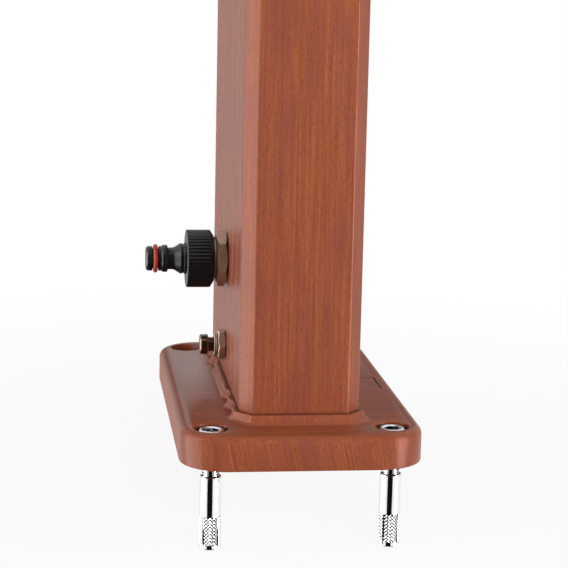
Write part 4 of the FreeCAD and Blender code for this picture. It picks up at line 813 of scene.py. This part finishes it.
@dataclass
class Column:
    """Tank column: a flat drawn section with bevelled corners and V grooves up its sides.

    Attributes:
        width: across, along X, in mm.
        depth: front to back, along Y, in mm.
        across: how much of the width a corner's bevel takes, in mm.
        along: how much of the depth it takes, in mm.
        grooves: where the grooves lie either side of the middle, in mm.
        groove_width: their width in mm.
        groove_depth: their depth in mm.
        wall: wall thickness in mm.
        foot: height of its lower end in mm.
        top: height of its upper end in mm.
    """

    width: float = 69.0
    depth: float = 194.0
    across: float = 7.5
    along: float = 9.0
    grooves: tuple[float, ...] = (35.0, 60.0, 85.5)
    groove_width: float = 3.0
    groove_depth: float = 1.2
    wall: float = 3.0
    foot: float = 8.0
    top: float = 2108.0

    def outline(self, grow: float = 0.0, grooved: bool = True) -> list[Point2]:
        """Works out the section, or one that stands off it.

        Args:
            grow: how far outside the column it lies, in mm.
            grooved: whether it has the grooves.

        Returns:
            Corners, round once from the front left.
        """
        half, deep = self.width / 2 + grow, self.depth / 2 + grow
        slant = math.hypot(self.across, self.along)
        # where the grown corner bevel meets the grown flats
        back = self.along - grow * (slant - self.along) / self.across + grow
        side = self.across - grow * (slant - self.across) / self.along + grow
        flank = [(-half, -deep + back)]
        if grooved:
            for middle in sorted([-g for g in self.grooves] + list(self.grooves)):
                flank += [
                    (-half, middle - self.groove_width / 2),
                    (-half + self.groove_depth, middle),
                    (-half, middle + self.groove_width / 2),
                ]
        flank.append((-half, deep - back))
        left = [(-half + side, -deep), *flank, (-half + side, deep)]
        return left + [(-x, y) for x, y in reversed(left)]

    def is_corner(self, edge: Edge, side: int) -> bool:
        """Says whether an edge is one of the section's corners on one side.

        Args:
            edge: the edge.
            side: -1 for the left, 1 for the right.

        Returns:
            True where it is.
        """
        x, y, _z = edge.verts[0].co / MM
        behind = self.depth / 2 - abs(y)
        on_front = abs(behind) < NEAR and abs(abs(x) - self.width / 2 + self.across) < NEAR
        on_flank = abs(behind - self.along) < NEAR
        return x * side > 0 and upright(edge) and (on_front or on_flank)

    def in_groove(self, edge: Edge) -> bool:
        """Says whether an edge is the bottom of a groove."""
        x, y, _z = edge.verts[0].co / MM
        return (
            upright(edge)
            and abs(x) < self.width / 2 - 1.0
            and abs(y) < self.grooves[-1] + self.groove_width / 2
        )

    def build(self) -> None:
        """Builds the column with its openings."""
        shape = Shape()
        shape.prism(Axis.UP.at(), self.outline(), self.foot, self.top)
        # the right corners are drawn rounder, the left ones as flat bevels
        shape.soften(lambda e: self.is_corner(e, -1), 1.8, 6)
        shape.soften(lambda e: self.is_corner(e, 1), 5.2, 10)
        shape.soften(self.in_groove, 0.2, 2)
        inner = Shape()
        hollow = self.outline(-self.wall, grooved=False)
        inner.prism(Axis.UP.at(), hollow, self.foot - 1, self.top + 1)
        shape.boolean(inner)
        openings = Shape()
        for axis, height, radius, near, far in (
            (Axis.LEFT, INLET_HEIGHT, 10.75, 25, 40),
            (Axis.LEFT, DRAIN_HEIGHT, 6.8, 25, 40),
            (Axis.FRONT, MIXER_HEIGHT, 15.8, 80, 105),
            (Axis.FRONT, ARM_HEIGHT, 10.1, 80, 105),
        ):
            openings.lathe(axis.at(z=height), [(near, 0), (near, radius), (far, radius), (far, 0)])
        shape.boolean(openings)
        shape.piece("column_dressed", Body.POST, COLUMN_PRINT, ["column"], smooth=30)


@dataclass
class Foot:
    """Cast foot with its crenellated plinth, sunk anchor holes and engraved seam.

    Attributes:
        column: the column that stands in it.
        width: across, along X, in mm.
        length: front to back, along Y, in mm.
        thickness: height in mm.
        corner: radius of its corners in plan, in mm.
        edge: radius of its upper edge in mm.
        hole_across: distance of the anchor holes along X in mm.
        hole_along: distance of the anchor holes along Y in mm.
        hole: radius of an anchor's hole in mm.
        recess: radius of the recess for an anchor's head in mm.
        front_floor: height of the front recesses' floor in mm.
        rear_floor: height of the rear recesses' floor in mm.
        plinth_top: height of the plinth's upper edge in mm.
    """

    column: Column
    width: float = 138.0
    length: float = 250.0
    thickness: float = 20.0
    corner: float = 27.0
    edge: float = 5.0
    hole_across: float = 102.5
    hole_along: float = 208.0
    hole: float = 5.6
    recess: float = 9.65
    front_floor: float = 12.7
    rear_floor: float = 7.0
    plinth_top: float = 25.5

    def spots(self) -> list[Point3]:
        """Works out where the anchors stand.

        Returns:
            X, Y and the height of the recess's floor for each, in mm.
        """
        across, along = self.hole_across / 2, self.hole_along / 2
        floors = ((-along, self.front_floor), (along, self.rear_floor))
        return [(x, y, floor) for x in (-across, across) for y, floor in floors]

    def slab(self) -> Shape:
        """Shapes the rounded plate.

        Returns:
            The plate.
        """
        shape = Shape()
        half, deep = self.width / 2, self.length / 2
        outline = [(half, -deep), (half, deep), (-half, deep), (-half, -deep)]
        shape.prism(Axis.UP.at(), outline, 0, self.thickness)
        shape.soften(upright, self.corner, 16)
        level = self.thickness * MM - 1e-5
        shape.soften(lambda e: all(v.co.z > level for v in e.verts), self.edge, 7)
        shape.soften(lambda e: all(v.co.z < 1e-5 for v in e.verts), 0.8, 2)
        return shape

    def build(self) -> None:
        """Builds the foot and its plinth."""
        shape = self.slab()
        cuts = Shape()
        top = self.thickness
        for x, y, floor in self.spots():
            recess = [
                (-1, 0), (-1, self.hole), (floor, self.hole), (floor, self.recess),
                (top - 0.9, self.recess), (top - 0.25, self.recess + 0.25),
                (top, self.recess + 0.9), (top + 1, self.recess + 2.6), (top + 1, 0),
            ]
            cuts.lathe(Axis.UP.at(x, y), recess, steps=72)
        # the four screws that hold the plug come up from below
        screw_hole = [(-1, 0), (-1, 5.4), (6, 5.4), (6, 3.4), (12, 3.4), (12, 0)]
        for x in (-18, 18):
            for y in (-70, 70):
                cuts.lathe(Axis.UP.at(x, y), screw_hole, steps=32)
        pocket = self.column.outline(0.3, grooved=False)
        cuts.prism(Axis.UP.at(), pocket, self.column.foot, top + 1)
        seam = [(40, 12.5), (60.3, 12.5), (60.3, -15), (61.2, -15), (61.2, 13.4), (40, 13.4)]
        cuts.prism(Axis.UP.at(), seam, top - 0.7, top + 1)
        shape.boolean(cuts)
        shape.piece("foot_casting", Body.POST, FOOT_PRINT, ["foot_plate"], smooth=28)
        self.plinth()

    def ring(self, proud: float, notch: float) -> list[Point2]:
        """Works out one level of the plinth.

        Args:
            proud: how far the blocks stand out of the column, in mm.
            notch: how far the floors between them do, in mm.

        Returns:
            Corners, round once from the front left.
        """
        base = self.column.outline(proud, grooved=False)
        half = self.column.width / 2
        steps = (
            (35, proud), (40, notch), (49, notch), (54, proud),
            (60, proud), (65, notch), (76, notch), (81, proud),
        )
        back = [(-half - out, float(y)) for y, out in steps]
        front = [(x, -y) for x, y in reversed(back)]
        left = [base[0], base[1], *front, *back, base[2], base[3]]
        return left + [(-x, y) for x, y in reversed(left)]

    def plinth(self) -> None:
        """Builds the crenellated rim that hugs the column, with its skirt."""
        base, top = self.thickness, self.plinth_top
        # height, and how far blocks and notches stand out there
        levels = (
            (base - 0.3, 6.4, 2.1), (base, 6.4, 2.1), (base + 0.35, 5.2, 1.4),
            (base + 1.5, 3.9, 1.0), (top, 2.8, 0.7), (top, 0.3, 0.3), (base - 0.3, 0.3, 0.3),
        )
        part = bmesh.new()
        loops = []
        for height, proud, notch in levels:
            spots = [
                part.verts.new((x * MM, y * MM, height * MM)) for x, y in self.ring(proud, notch)
            ]
            loops.append([part.edges.new(pair) for pair in zip(spots, spots[1:] + spots[:1])])
        for lower, upper in zip(loops, loops[1:] + loops[:1]):
            bmesh.ops.bridge_loops(part, edges=lower + upper)
        shape = Shape()
        shape.join(part, Matrix())

        def outer(edge: Edge) -> bool:
            """Says whether an edge is on the outside, above the skirt."""
            low = min(v.co.z for v in edge.verts) / MM
            return low > base + 0.2 and edge.calc_face_angle(0) >= math.radians(12)

        shape.soften(outer, 0.55, 3)
        shape.piece("foot_plinth", Body.POST, FOOT_PRINT, smooth=40)


# ---------------------------------------------------------------- anchors


@dataclass
class Anchors:
    """Four bolts with socket heads, each in a slotted, knurled sleeve that a cone spreads.

    Attributes:
        foot: the foot that they hold.
        head_radius: radius of a bolt's head in mm.
        head_height: its height in mm.
        socket: width of its hexagon socket across flats in mm.
        length: length of the bolt below its head in mm.
        shank: radius of the bolt in mm.
        root: radius of its thread's root in mm.
        pitch: pitch of its M10 thread in mm.
        sleeve: the sleeve's radius in mm.
        bore: radius of the sleeve's bore in mm.
        sleeve_top: height of the sleeve's upper end in mm.
        sleeve_end: height of its lower end in mm.
        knurl_top: height where the knurling starts in mm.
        knurl_end: height where it ends in mm.
        knurl_depth: depth of the knurling in mm.
        knurl_row: height of one row of its points in mm.
        around: points of the knurling round the sleeve.
        groove_every: points from one groove of the knurling to the next.
    """

    foot: Foot
    head_radius: float = 7.25
    head_height: float = 6.5
    socket: float = 8.0
    length: float = 44.0
    shank: float = 4.95
    root: float = 4.25
    pitch: float = 1.5
    sleeve: float = 6.0
    bore: float = 5.1
    sleeve_top: float = -7.6
    sleeve_end: float = -49.6
    knurl_top: float = -30.6
    knurl_end: float = -47.0
    knurl_depth: float = 0.28
    knurl_row: float = 0.52
    around: int = 76
    groove_every: int = 4

    def bolts(self) -> None:
        """Builds the four bolts."""
        shape, sockets = Shape(), Shape()
        for x, y, floor in self.foot.spots():
            top, end = floor + self.head_height, floor - self.length
            outside = [
                (end, 0), (end, 4.3, 0.3), (end + 0.7, self.shank), (-13.0, self.shank),
                (-12.6, self.root), (1.0, self.root), (1.4, self.shank),
                (floor, self.shank, 0.3), (floor, self.head_radius, 0.3),
                (top - 0.8, self.head_radius, 0.2), (top, self.head_radius - 0.8, 0.2),
                (top, 5.3, 0.2), (top - 0.5, 4.8), (top - 0.5, 0),
            ]
            shape.lathe(Axis.UP.at(x, y), outside, steps=72)
            # each socket stands at its own angle, as the bolts were tightened
            socket = hexagon(self.socket, math.degrees(0.3 * x))
            sockets.prism(Axis.UP.at(x, y), socket, top - 4.0, top + 0.6)
        shape.boolean(sockets)
        for x, y, _floor in self.foot.spots():
            shape.thread(Axis.UP.at(x, y), self.shank, self.root, self.pitch, -13.4, 1.6)
        shape.piece("anchor_bolts_dressed", Body.POST, BRIGHT_ZINC, ["anchor_bolts"])

    def knurled(self) -> Shape:
        """Shapes one sleeve with its knurling, before it is slotted.

        Returns:
            The sleeve, on the Z axis.
        """
        rows = round((self.knurl_top - self.knurl_end) / self.knurl_row)
        step = (self.knurl_top - self.knurl_end) / rows
        outside = [
            (self.sleeve_top, self.bore), (self.sleeve_top, self.sleeve - 0.2),
            (self.sleeve_top - 0.3, self.sleeve), (self.knurl_top + 0.1, self.sleeve),
            *((self.knurl_top - step * row, self.sleeve - 0.02) for row in range(rows + 1)),
            (self.knurl_end - 0.1, self.sleeve), (self.sleeve_end + 0.5, self.sleeve),
            (self.sleeve_end, self.sleeve - 0.5), (self.sleeve_end, self.bore),
        ]
        turned = Shape()
        turned.lathe(Axis.UP.at(), outside, steps=self.around, closed=True)
        pressed = []
        for vert in turned.bm.verts:
            row = (self.knurl_top - vert.co.z / MM) / step
            if abs(row - round(row)) > 0.01 or not 0 <= round(row) <= rows:
                continue
            if vert.co.xy.length / MM < self.sleeve - NEAR:
                continue
            column = round(math.atan2(vert.co.y, vert.co.x) / math.tau * self.around)
            crossing = (round(row) + column, round(row) - column)
            if any(line % self.groove_every == 0 for line in crossing):
                pressed.append(vert)
        inward = (self.sleeve - self.knurl_depth) / self.sleeve
        bmesh.ops.scale(turned.bm, vec=(inward, inward, 1), verts=pressed)
        # the quads are split along the grooves, which leaves flat diamonds between them
        bmesh.ops.connect_verts(turned.bm, verts=pressed)
        return turned

    def sleeves(self) -> None:
        """Builds the four slotted and knurled sleeves."""
        shape, slots = Shape(), Shape()
        slot = [(-8, -0.55), (8, -0.55), (8, 0.55), (-8, 0.55)]
        for x, y, _floor in self.foot.spots():
            place = Axis.UP.at(x, y)
            shape.join(self.knurled().bm, place)
            for turn in (45, 135):
                heading = Matrix.Rotation(math.radians(turn), 4, "Z")
                slots.prism(place @ heading, slot, self.sleeve_end - 1, self.knurl_top)
        shape.boolean(slots)
        shape.piece("anchor_sleeves_dressed", Body.POST, SLEEVE_ZINC, ["anchor_sleeves"], 16)

    def build(self) -> None:
        """Builds bolts and sleeves; the cones keep their CAD shape."""
        self.bolts()
        self.sleeves()


# ---------------------------------------------------------------- hose inlet and drain


@dataclass
class HoseInlet:
    """Nickelled inlet with its hexagon and thread, the ribbed coupling nut and the click nipple.

    Attributes:
        hex_flats: the hexagon across flats in mm.
        hex_start: distance of the hexagon's inner face from the middle in mm.
        hex_end: distance of its outer face in mm.
        hex_turn: how far it is turned, in degrees.
        inset: how far its outer face is turned down inside the flats, in mm.
        thread: radius of the 3/4 inch thread in mm.
        root: radius of its root in mm.
        thread_end: distance of the thread's end in mm.
        pitch: pitch of the thread, 14 to the inch, in mm.
        nut_start: distance of the nut's inner end in mm.
        nut_end: distance of its outer end in mm.
        nut_radius: the nut's radius over its ribs in mm.
        nut_bore: radius of its bore in mm.
        ribs: number of ribs.
        rib_depth: depth of the grooves between them in mm.
        ring: distance of the red ring's middle in mm.
        ring_radius: radius of the ring's middle line in mm.
        cord: radius of the ring's cord in mm.
    """

    hex_flats: float = 29.5
    hex_start: float = 35.0
    hex_end: float = 41.4
    hex_turn: float = 10.0
    inset: float = 0.45
    thread: float = 13.2
    root: float = 12.05
    thread_end: float = 53.8
    pitch: float = 1.814
    nut_start: float = 42.7
    nut_end: float = 59.3
    nut_radius: float = 17.45
    nut_bore: float = 13.35
    ribs: int = 48
    rib_depth: float = 0.42
    ring: float = 77.8
    ring_radius: float = 7.28
    cord: float = 1.36

    @property
    def place(self) -> Matrix:
        """Matrix of the inlet's axis, pointing out of the column."""
        return Axis.LEFT.at(z=INLET_HEIGHT)

    def body(self) -> None:
        """Builds the hexagon with its thread and the tail inside the column."""
        shape = Shape()
        outline = hexagon(self.hex_flats, self.hex_turn)
        # drawn past its faces, so that no two of them coincide where it is turned off
        shape.prism(self.place, outline, self.hex_start - 1, self.hex_end + 1)
        # both faces of the hexagon are turned off at 30 degrees
        half, corner = self.hex_flats / 2, corner_radius(self.hex_flats)
        slope = math.tan(math.radians(30))
        turned = Shape()
        blank = [
            (self.hex_start, 0),
            (self.hex_start, half - 0.2),
            (self.hex_start + (corner + 0.2 - half) * slope, corner + 0.05),
            (self.hex_end - (corner + self.inset - half) * slope, corner + 0.05),
            (self.hex_end, half - self.inset),
            (self.hex_end, 0),
        ]
        turned.lathe(self.place, blank, steps=96)
        shape.boolean(turned, "INTERSECT")
        tube = [
            (16.5, 7.0), (16.5, 10.0, 0.2), (17.0, 10.45), (34.6, 10.45), (34.6, 11.5),
            (self.hex_end, 11.5), (self.hex_end + 0.2, self.root),
            (self.thread_end - 0.8, self.root), (self.thread_end, 11.4, 0.2),
            (self.thread_end, 7.0, 0.3),
        ]
        shape.lathe(self.place, tube, steps=72, closed=True)
        start, end = self.hex_end + 0.1, self.thread_end - 0.2
        shape.thread(self.place, self.thread, self.root, self.pitch, start, end)
        shape.piece("inlet_body_dressed", Body.POST, NICKEL, ["inlet_body"], smooth=25)

    def nut(self) -> None:
        """Builds the ribbed coupling nut."""
        part = bmesh.new()
        circle = bmesh.ops.create_circle(
            part, cap_ends=True, segments=self.ribs * 8, radius=self.nut_radius * MM
        )["verts"]
        # of each eight points, three lie in the groove between two ribs and two on its flanks
        groove = {2: 0.25, 3: 0.8, 4: 1.0, 5: 0.8, 6: 0.25}
        for number, vert in enumerate(sorted(circle, key=lambda v: math.atan2(v.co.y, v.co.x))):
            vert.co *= 1 - groove.get(number % 8, 0.0) * self.rib_depth / self.nut_radius
        # distance, and the share of the full radius there: a cone, the ribs, a rounded rim
        start, end = self.nut_start, self.nut_end
        levels = (
            (start, 0.797), (start + 0.1, 0.815), (start + 2.0, 0.985), (start + 2.4, 1.0),
            (end - 0.75, 1.0), (end - 0.3, 0.988), (end - 0.05, 0.968), (end, 0.95),
        )
        first = levels[0][1]
        bmesh.ops.scale(part, vec=(first, first, 1), verts=part.verts)
        face = list(part.faces)
        for (level, size), (last, before) in zip(levels[1:], levels):
            face, lifted = Shape.extrude(part, face, level - last)
            grow = size / before
            bmesh.ops.scale(part, vec=(grow, grow, 1), verts=lifted)
        shape = Shape()
        shape.join(part, self.place @ Matrix.Translation((0, 0, start * MM)))
        bore = Shape()
        hollow = [
            (start - 1, 0), (start - 1, 13.9), (start + 0.6, self.nut_bore),
            (57.3, self.nut_bore), (57.3, 9.5), (end - 0.3, 9.5), (end + 1, 10.8), (end + 1, 0),
        ]
        bore.lathe(self.place, hollow, steps=96)
        shape.boolean(bore)
        shape.piece("coupling_nut_dressed", Body.COUPLING, BLACK_PLASTIC, ["coupling_nut"], 24)

    def nipple(self) -> None:
        """Builds the click nipple with its groove, and the red ring in it."""
        shape = Shape()
        outside = [
            # the flange and neck inside the nut, and the collar where they leave it
            (55.3, 4.6, 0.3), (55.3, 12.5, 0.2), (57.2, 12.5, 0.2), (57.2, 9.4),
            (60.5, 9.4, 0.25), (60.7, 8.9, 0.1), (61.8, 8.9, 0.1), (62.0, 9.35, 0.15),
            # the cone, the waist and the rib that a hose's catch holds
            (62.7, 9.3, 0.4), (66.8, 6.65, 1.0), (70.4, 6.65, 0.35), (70.6, 8.15, 0.3),
            (72.0, 8.25, 0.2), (73.2, 8.25, 0.5), (74.3, 7.45, 0.2),
            # the ring's groove and the tip
            (75.9, 7.45, 0.25), (76.05, 5.9, 0.15), (79.55, 5.9, 0.15), (79.7, 7.45, 0.25),
            (82.5, 7.45, 0.4), (83.6, 6.5, 0.3), (83.6, 5.0, 0.2), (83.0, 4.6, 0.1),
        ]
        shape.lathe(self.place, outside, steps=96, closed=True)
        shape.piece("hose_tail_dressed", Body.CONNECTOR, BLACK_PLASTIC, ["hose_tail"])
        ring = Shape()
        angles = [math.radians(18 * k) for k in range(20)]
        section = [
            (self.ring + self.cord * math.sin(a), self.ring_radius + self.cord * math.cos(a))
            for a in angles
        ]
        ring.lathe(self.place, section, steps=96, closed=True)
        ring.piece("nipple_ring_dressed", Body.CONNECTOR, RED_RUBBER, ["hose_tail_o_ring"], 60)

    def build(self) -> None:
        """Builds the inlet from the column outwards."""
        self.body()
        self.nut()
        self.nipple()


@dataclass
class Drain:
    """Small drain below the inlet: hexagon with a ringed collar, and the screw that closes it.

    Attributes:
        hex_flats: the hexagon across flats in mm.
        hex_start: distance of its inner face from the middle in mm.
        hex_end: distance of its outer face in mm.
        hex_turn: how far it is turned, in degrees.
    """

    hex_flats: float = 16.6
    hex_start: float = 35.0
    hex_end: float = 39.2
    hex_turn: float = 28.0

    def build(self) -> None:
        """Builds the drain's body and its screw."""
        place = Axis.LEFT.at(z=DRAIN_HEIGHT)
        start, end = self.hex_start, self.hex_end
        half, corner = self.hex_flats / 2, corner_radius(self.hex_flats)
        shape = Shape()
        shape.prism(place, hexagon(self.hex_flats, self.hex_turn), start - 1, end + 1)
        turned = Shape()
        blank = [
            (start, 0), (start, half), (start + 0.5, corner + 0.05),
            (end - 0.9, corner + 0.05), (end, half - 0.5), (end, 0),
        ]
        turned.lathe(place, blank, steps=72)
        shape.boolean(turned, "INTERSECT")
        collar = [
            (22.5, 4.5), (22.5, 6.5, 0.3), (start, 6.5), (39.25, 6.6), (39.45, 6.2, 0.1),
            (39.65, 6.6, 0.1), (40.4, 6.6, 0.1), (40.6, 6.2, 0.1), (40.8, 6.6, 0.1),
            (41.6, 6.5, 0.2), (41.6, 4.5, 0.2),
        ]
        shape.lathe(place, collar, closed=True)
        shape.piece("drain_body_dressed", Body.POST, NICKEL, ["drain_body"], smooth=25)
        tip = -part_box("drain_screw")[1][0] / MM
        screw = Shape()
        outside = [
            (tip, 0), (tip, 3.4, 0.3), (tip + 1, 4.3), (45.2, 4.35), (45.2, 5.6, 0.3),
            (45.7, 6.1, 0.2), (49.5, 6.1, 0.3), (50.2, 5.5, 0.2), (50.2, 0),
        ]
        screw.lathe(place, outside, steps=72)
        screw.piece("drain_screw_dressed", Body.DRAIN_KNOB, TARNISHED, ["drain_screw"])


# ---------------------------------------------------------------- the rest of the frame


# the CAD nodes that keep their shape, by finish
NODE_FINISHES: dict[Finish, tuple[str, ...]] = {
    BRIGHT_ZINC: ("anchor_cones",),
    SCREW_STEEL: (
        "foot_screws", "top_cap_screws", "valve_spring", "lever_pin", "lever_stem", "lever_screw",
    ),
    DARK_PLASTIC: (
        "bottom_plug", "top_cap", "valve_poppet", "mixer_cartridge", "cartridge_carrier",
    ),
    BLACK_RUBBER: (
        "bottom_plug_gasket", "top_cap_gasket", "inlet_outer_washer", "inlet_inner_washer",
        "coupling_washer", "drain_outer_washer", "drain_inner_washer", "drain_o_ring",
        "mixer_gasket", "ball_seat_ring",
    ),
    BRASS: (
        "inlet_lock_nut", "riser_tee", "tee_plug", "valve_cage", "drain_lock_nut",
        "pipe_union_nuts", "mixer_housing", "cartridge_nut", "arm_elbow",
    ),
    PIPE_STEEL: ("cold_riser_pipe", "hot_pickup_pipe", "mixed_riser_pipe"),
    CHROME: (
        "mixer_rosette", "mixer_shroud", "mixer_lever", "shower_arm", "arm_rosette",
        "ball_stud", "ball_nut", "head_shell",
    ),
    CERAMIC: ("ceramic_disc",),
    INDEX: ("lever_index",),
    NOZZLE: ("nozzle_plate",),
}


def finish_nodes() -> None:
    """Gives every CAD node that keeps its shape the finish of its real material."""
    for finish, names in NODE_FINISHES.items():
        for name in names:
            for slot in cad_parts[name].material_slots:
                slot.material = finish.material()
            LOG.info("%s: CAD shape in %s", name, finish.name)


# ---------------------------------------------------------------- studio


@dataclass
class Studio:
    """Plain pale floor, white surroundings, soft lamps and the camera.

    Attributes:
        floor_height: height of the floor in metres, at the anchors' lower ends.
        fade: where the floor starts to fade to white, and where it is white, in metres.
        ambient: strength of the surroundings as light on matt surfaces.
        camera_at: the camera's place in metres.
        heading: its turn to the right of straight back, in radians.
        dip: how far it looks down, in radians.
        roll: its roll in radians.
        lens: focal length in mm on a 36 mm sensor.
    """

    floor_height: float = -0.0516
    fade: Point2 = (0.2, 0.8)
    ambient: float = 0.17
    camera_at: Point3 = (-0.135628, -1.071277, 0.279958)
    heading: float = 0.12692156
    dip: float = 0.18098567
    roll: float = -0.02209037
    lens: float = 113.69

    def world(self) -> None:
        """Makes the surroundings: white to the camera and in reflections, softer as light."""
        world = bpy.data.worlds.new("studio")
        bpy.context.scene.world = world
        world.use_nodes = True
        tree = world.node_tree
        tree.nodes.clear()
        path = add_node(tree, "ShaderNodeLightPath")
        seen = path.outputs["Is Camera Ray"]
        for kind in ("Is Glossy Ray", "Is Transmission Ray"):
            inputs = {0: seen, 1: path.outputs[kind]}
            seen = add_node(tree, "ShaderNodeMath", inputs, operation="MAXIMUM").outputs[0]
        strength = span(tree, seen, start=self.ambient)
        sky = add_node(tree, "ShaderNodeBackground", {"Color": WHITE, "Strength": strength})
        add_node(tree, "ShaderNodeOutputWorld", {"Surface": sky.outputs[0]})

    def sheet(
        self, name: str, size: Point2, place: Matrix, material: bpy.types.Material
    ) -> bpy.types.Object:
        """Makes a flat stage sheet.

        Args:
            name: its name.
            size: its sides in metres.
            place: where its middle goes.
            material: what it is covered in.

        Returns:
            The sheet.
        """
        part = bmesh.new()
        bmesh.ops.create_grid(part, x_segments=1, y_segments=1, size=0.5)
        bmesh.ops.scale(part, vec=(size[0], size[1], 1), verts=part.verts)
        bmesh.ops.transform(part, matrix=place, verts=part.verts)
        mesh = bpy.data.meshes.new(name)
        part.to_mesh(mesh)
        part.free()
        mesh.materials.append(material)
        thing = bpy.data.objects.new(name, mesh)
        bpy.context.scene.collection.objects.link(thing)
        return thing

    def floor(self) -> None:
        """Makes the pale floor, nearly white to the camera, which keeps the shadow."""
        material = empty_material("pale_floor")
        tree = material.node_tree
        paint = add_node(
            tree, "ShaderNodeBsdfDiffuse", {"Color": linear("F4F4F4"), "Roughness": 0.5}
        )
        glow = add_node(tree, "ShaderNodeEmission", {"Color": WHITE, "Strength": 1.0})
        # the floor fades to the surroundings' white before it ends, so that no horizon shows
        place = add_node(tree, "ShaderNodeTexCoord").outputs["Object"]
        level = {0: place, 1: (1, 1, 0)}
        flat = add_node(tree, "ShaderNodeVectorMath", level, operation="MULTIPLY")
        out = add_node(tree, "ShaderNodeVectorMath", {0: flat.outputs[0]}, operation="LENGTH")
        faded = span(tree, out.outputs["Value"], *self.fade, start=0.9, curve="SMOOTHSTEP")
        path = add_node(tree, "ShaderNodeLightPath")
        inputs = {0: path.outputs["Is Camera Ray"], 1: faded}
        share = add_node(tree, "ShaderNodeMath", inputs, operation="MULTIPLY")
        inputs = {0: share.outputs[0], 1: paint.outputs[0], 2: glow.outputs[0]}
        mix = add_node(tree, "ShaderNodeMixShader", inputs)
        add_node(tree, "ShaderNodeOutputMaterial", {"Surface": mix.outputs[0]})
        ground = Matrix.Translation((0, 0, self.floor_height))
        floor = self.sheet("studio_floor", (14, 14), ground, material)
        floor.visible_glossy = False

    def card(self, name: str, place: Matrix, size: Point2, glow: float) -> None:
        """Puts up a card that only reflections see.

        Args:
            name: its name.
            place: where its middle goes.
            size: its width and height in metres.
            glow: how bright it is; the surroundings are 1.
        """
        material = empty_material(name)
        tree = material.node_tree
        face = add_node(tree, "ShaderNodeEmission", {"Color": WHITE, "Strength": glow})
        add_node(tree, "ShaderNodeOutputMaterial", {"Surface": face.outputs[0]})
        material.cycles.emission_sampling = "NONE"
        card = self.sheet(name, size, place, material)
        card.visible_camera = False
        card.visible_diffuse = False
        card.visible_shadow = False
        card.visible_transmission = False

    def lamp(self, name: str, at: Point3, aim: Point3, size: Point2, power: float) -> None:
        """Hangs a soft lamp.

        Args:
            name: its name.
            at: its place in metres.
            aim: the point that it faces, in metres.
            size: its sides in metres.
            power: its power in watts.
        """
        data = bpy.data.lights.new(name, "AREA")
        data.shape = "RECTANGLE"
        data.size, data.size_y = size
        data.energy = power
        lamp = bpy.data.objects.new(name, data)
        bpy.context.scene.collection.objects.link(lamp)
        facing = (Vector(aim) - Vector(at)).to_track_quat("-Z", "Y")
        lamp.matrix_world = Matrix.Translation(at) @ facing.to_matrix().to_4x4()
        lamp.visible_glossy = False

    def camera(self) -> None:
        """Sets up the camera at the photograph's viewing angle."""
        data = bpy.data.cameras.new("camera")
        data.sensor_width = 36.0
        data.lens = self.lens
        data.clip_start = 0.05
        data.clip_end = 60.0
        camera = bpy.data.objects.new("camera", data)
        bpy.context.scene.collection.objects.link(camera)
        level = math.cos(self.dip)
        forward = Vector(
            (math.sin(self.heading) * level, math.cos(self.heading) * level, -math.sin(self.dip))
        )
        right = Vector((math.cos(self.heading), -math.sin(self.heading), 0))
        down = forward.cross(right)
        rolled_right = right * math.cos(self.roll) + down * math.sin(self.roll)
        rolled_down = down * math.cos(self.roll) - right * math.sin(self.roll)
        turn = Matrix((rolled_right, -rolled_down, -forward)).transposed().to_4x4()
        camera.matrix_world = Matrix.Translation(self.camera_at) @ turn
        bpy.context.scene.camera = camera

    def build(self) -> None:
        """Builds the studio."""
        bpy.context.scene.view_settings.view_transform = "Standard"
        self.world()
        self.floor()
        for name, bearing, away, size, glow in (
            # the dark card round the camera draws the dark stripe down bright metal
            ("dark_card", -11, 1.8, (1.85, 5.0), 0.006),
            # the left card gives the left bevel its pale sheen, the right one a bright ridge
            ("left_card", -92, 2.0, (1.9, 3.0), 6.6),
            ("right_card", 60, 2.0, (0.8, 3.0), 13.0),
            # two grey ones behind keep the glancing mirror image of the backdrop down
            ("back_left_card", 187.5, 2.6, (0.6, 4.0), 0.3),
            ("back_right_card", 165, 2.6, (0.6, 4.0), 0.3),
        ):
            # bearings run from the front towards the right
            turn = Matrix.Rotation(math.radians(bearing), 4, "Z")
            out = Matrix.Translation((0, -away, 0)) @ Matrix.Rotation(math.pi / 2, 4, "X")
            self.card(name, turn @ out, size, glow)
        # a dark one lies below, so that what faces down stays dark
        self.card("low_card", Matrix.Translation((0, 0, -0.75)), (2.0, 2.0), 0.02)
        for name, at, size, power in (
            ("left_softbox", (-2.2, -1.1, 0.7), (1.6, 2.4), 26),
            ("front_softbox", (0.5, -2.6, 0.6), (2.0, 2.4), 62),
            ("right_softbox", (2.4, -0.4, 1.0), (1.4, 2.2), 18),
        ):
            self.lamp(name, at, (0, 0, 0.3), size, power)
        self.camera()


def main() -> None:
    """Builds the dressed part in its studio."""
    logging.basicConfig(level=logging.INFO, format="%(name)s %(message)s")
    Studio().build()
    column = Column()
    foot = Foot(column)
    for part in (column, foot, Anchors(foot), HoseInlet(), Drain()):
        LOG.info("building %s", type(part).__name__)
        part.build()
    finish_nodes()


if __name__ == "__main__":
    main()
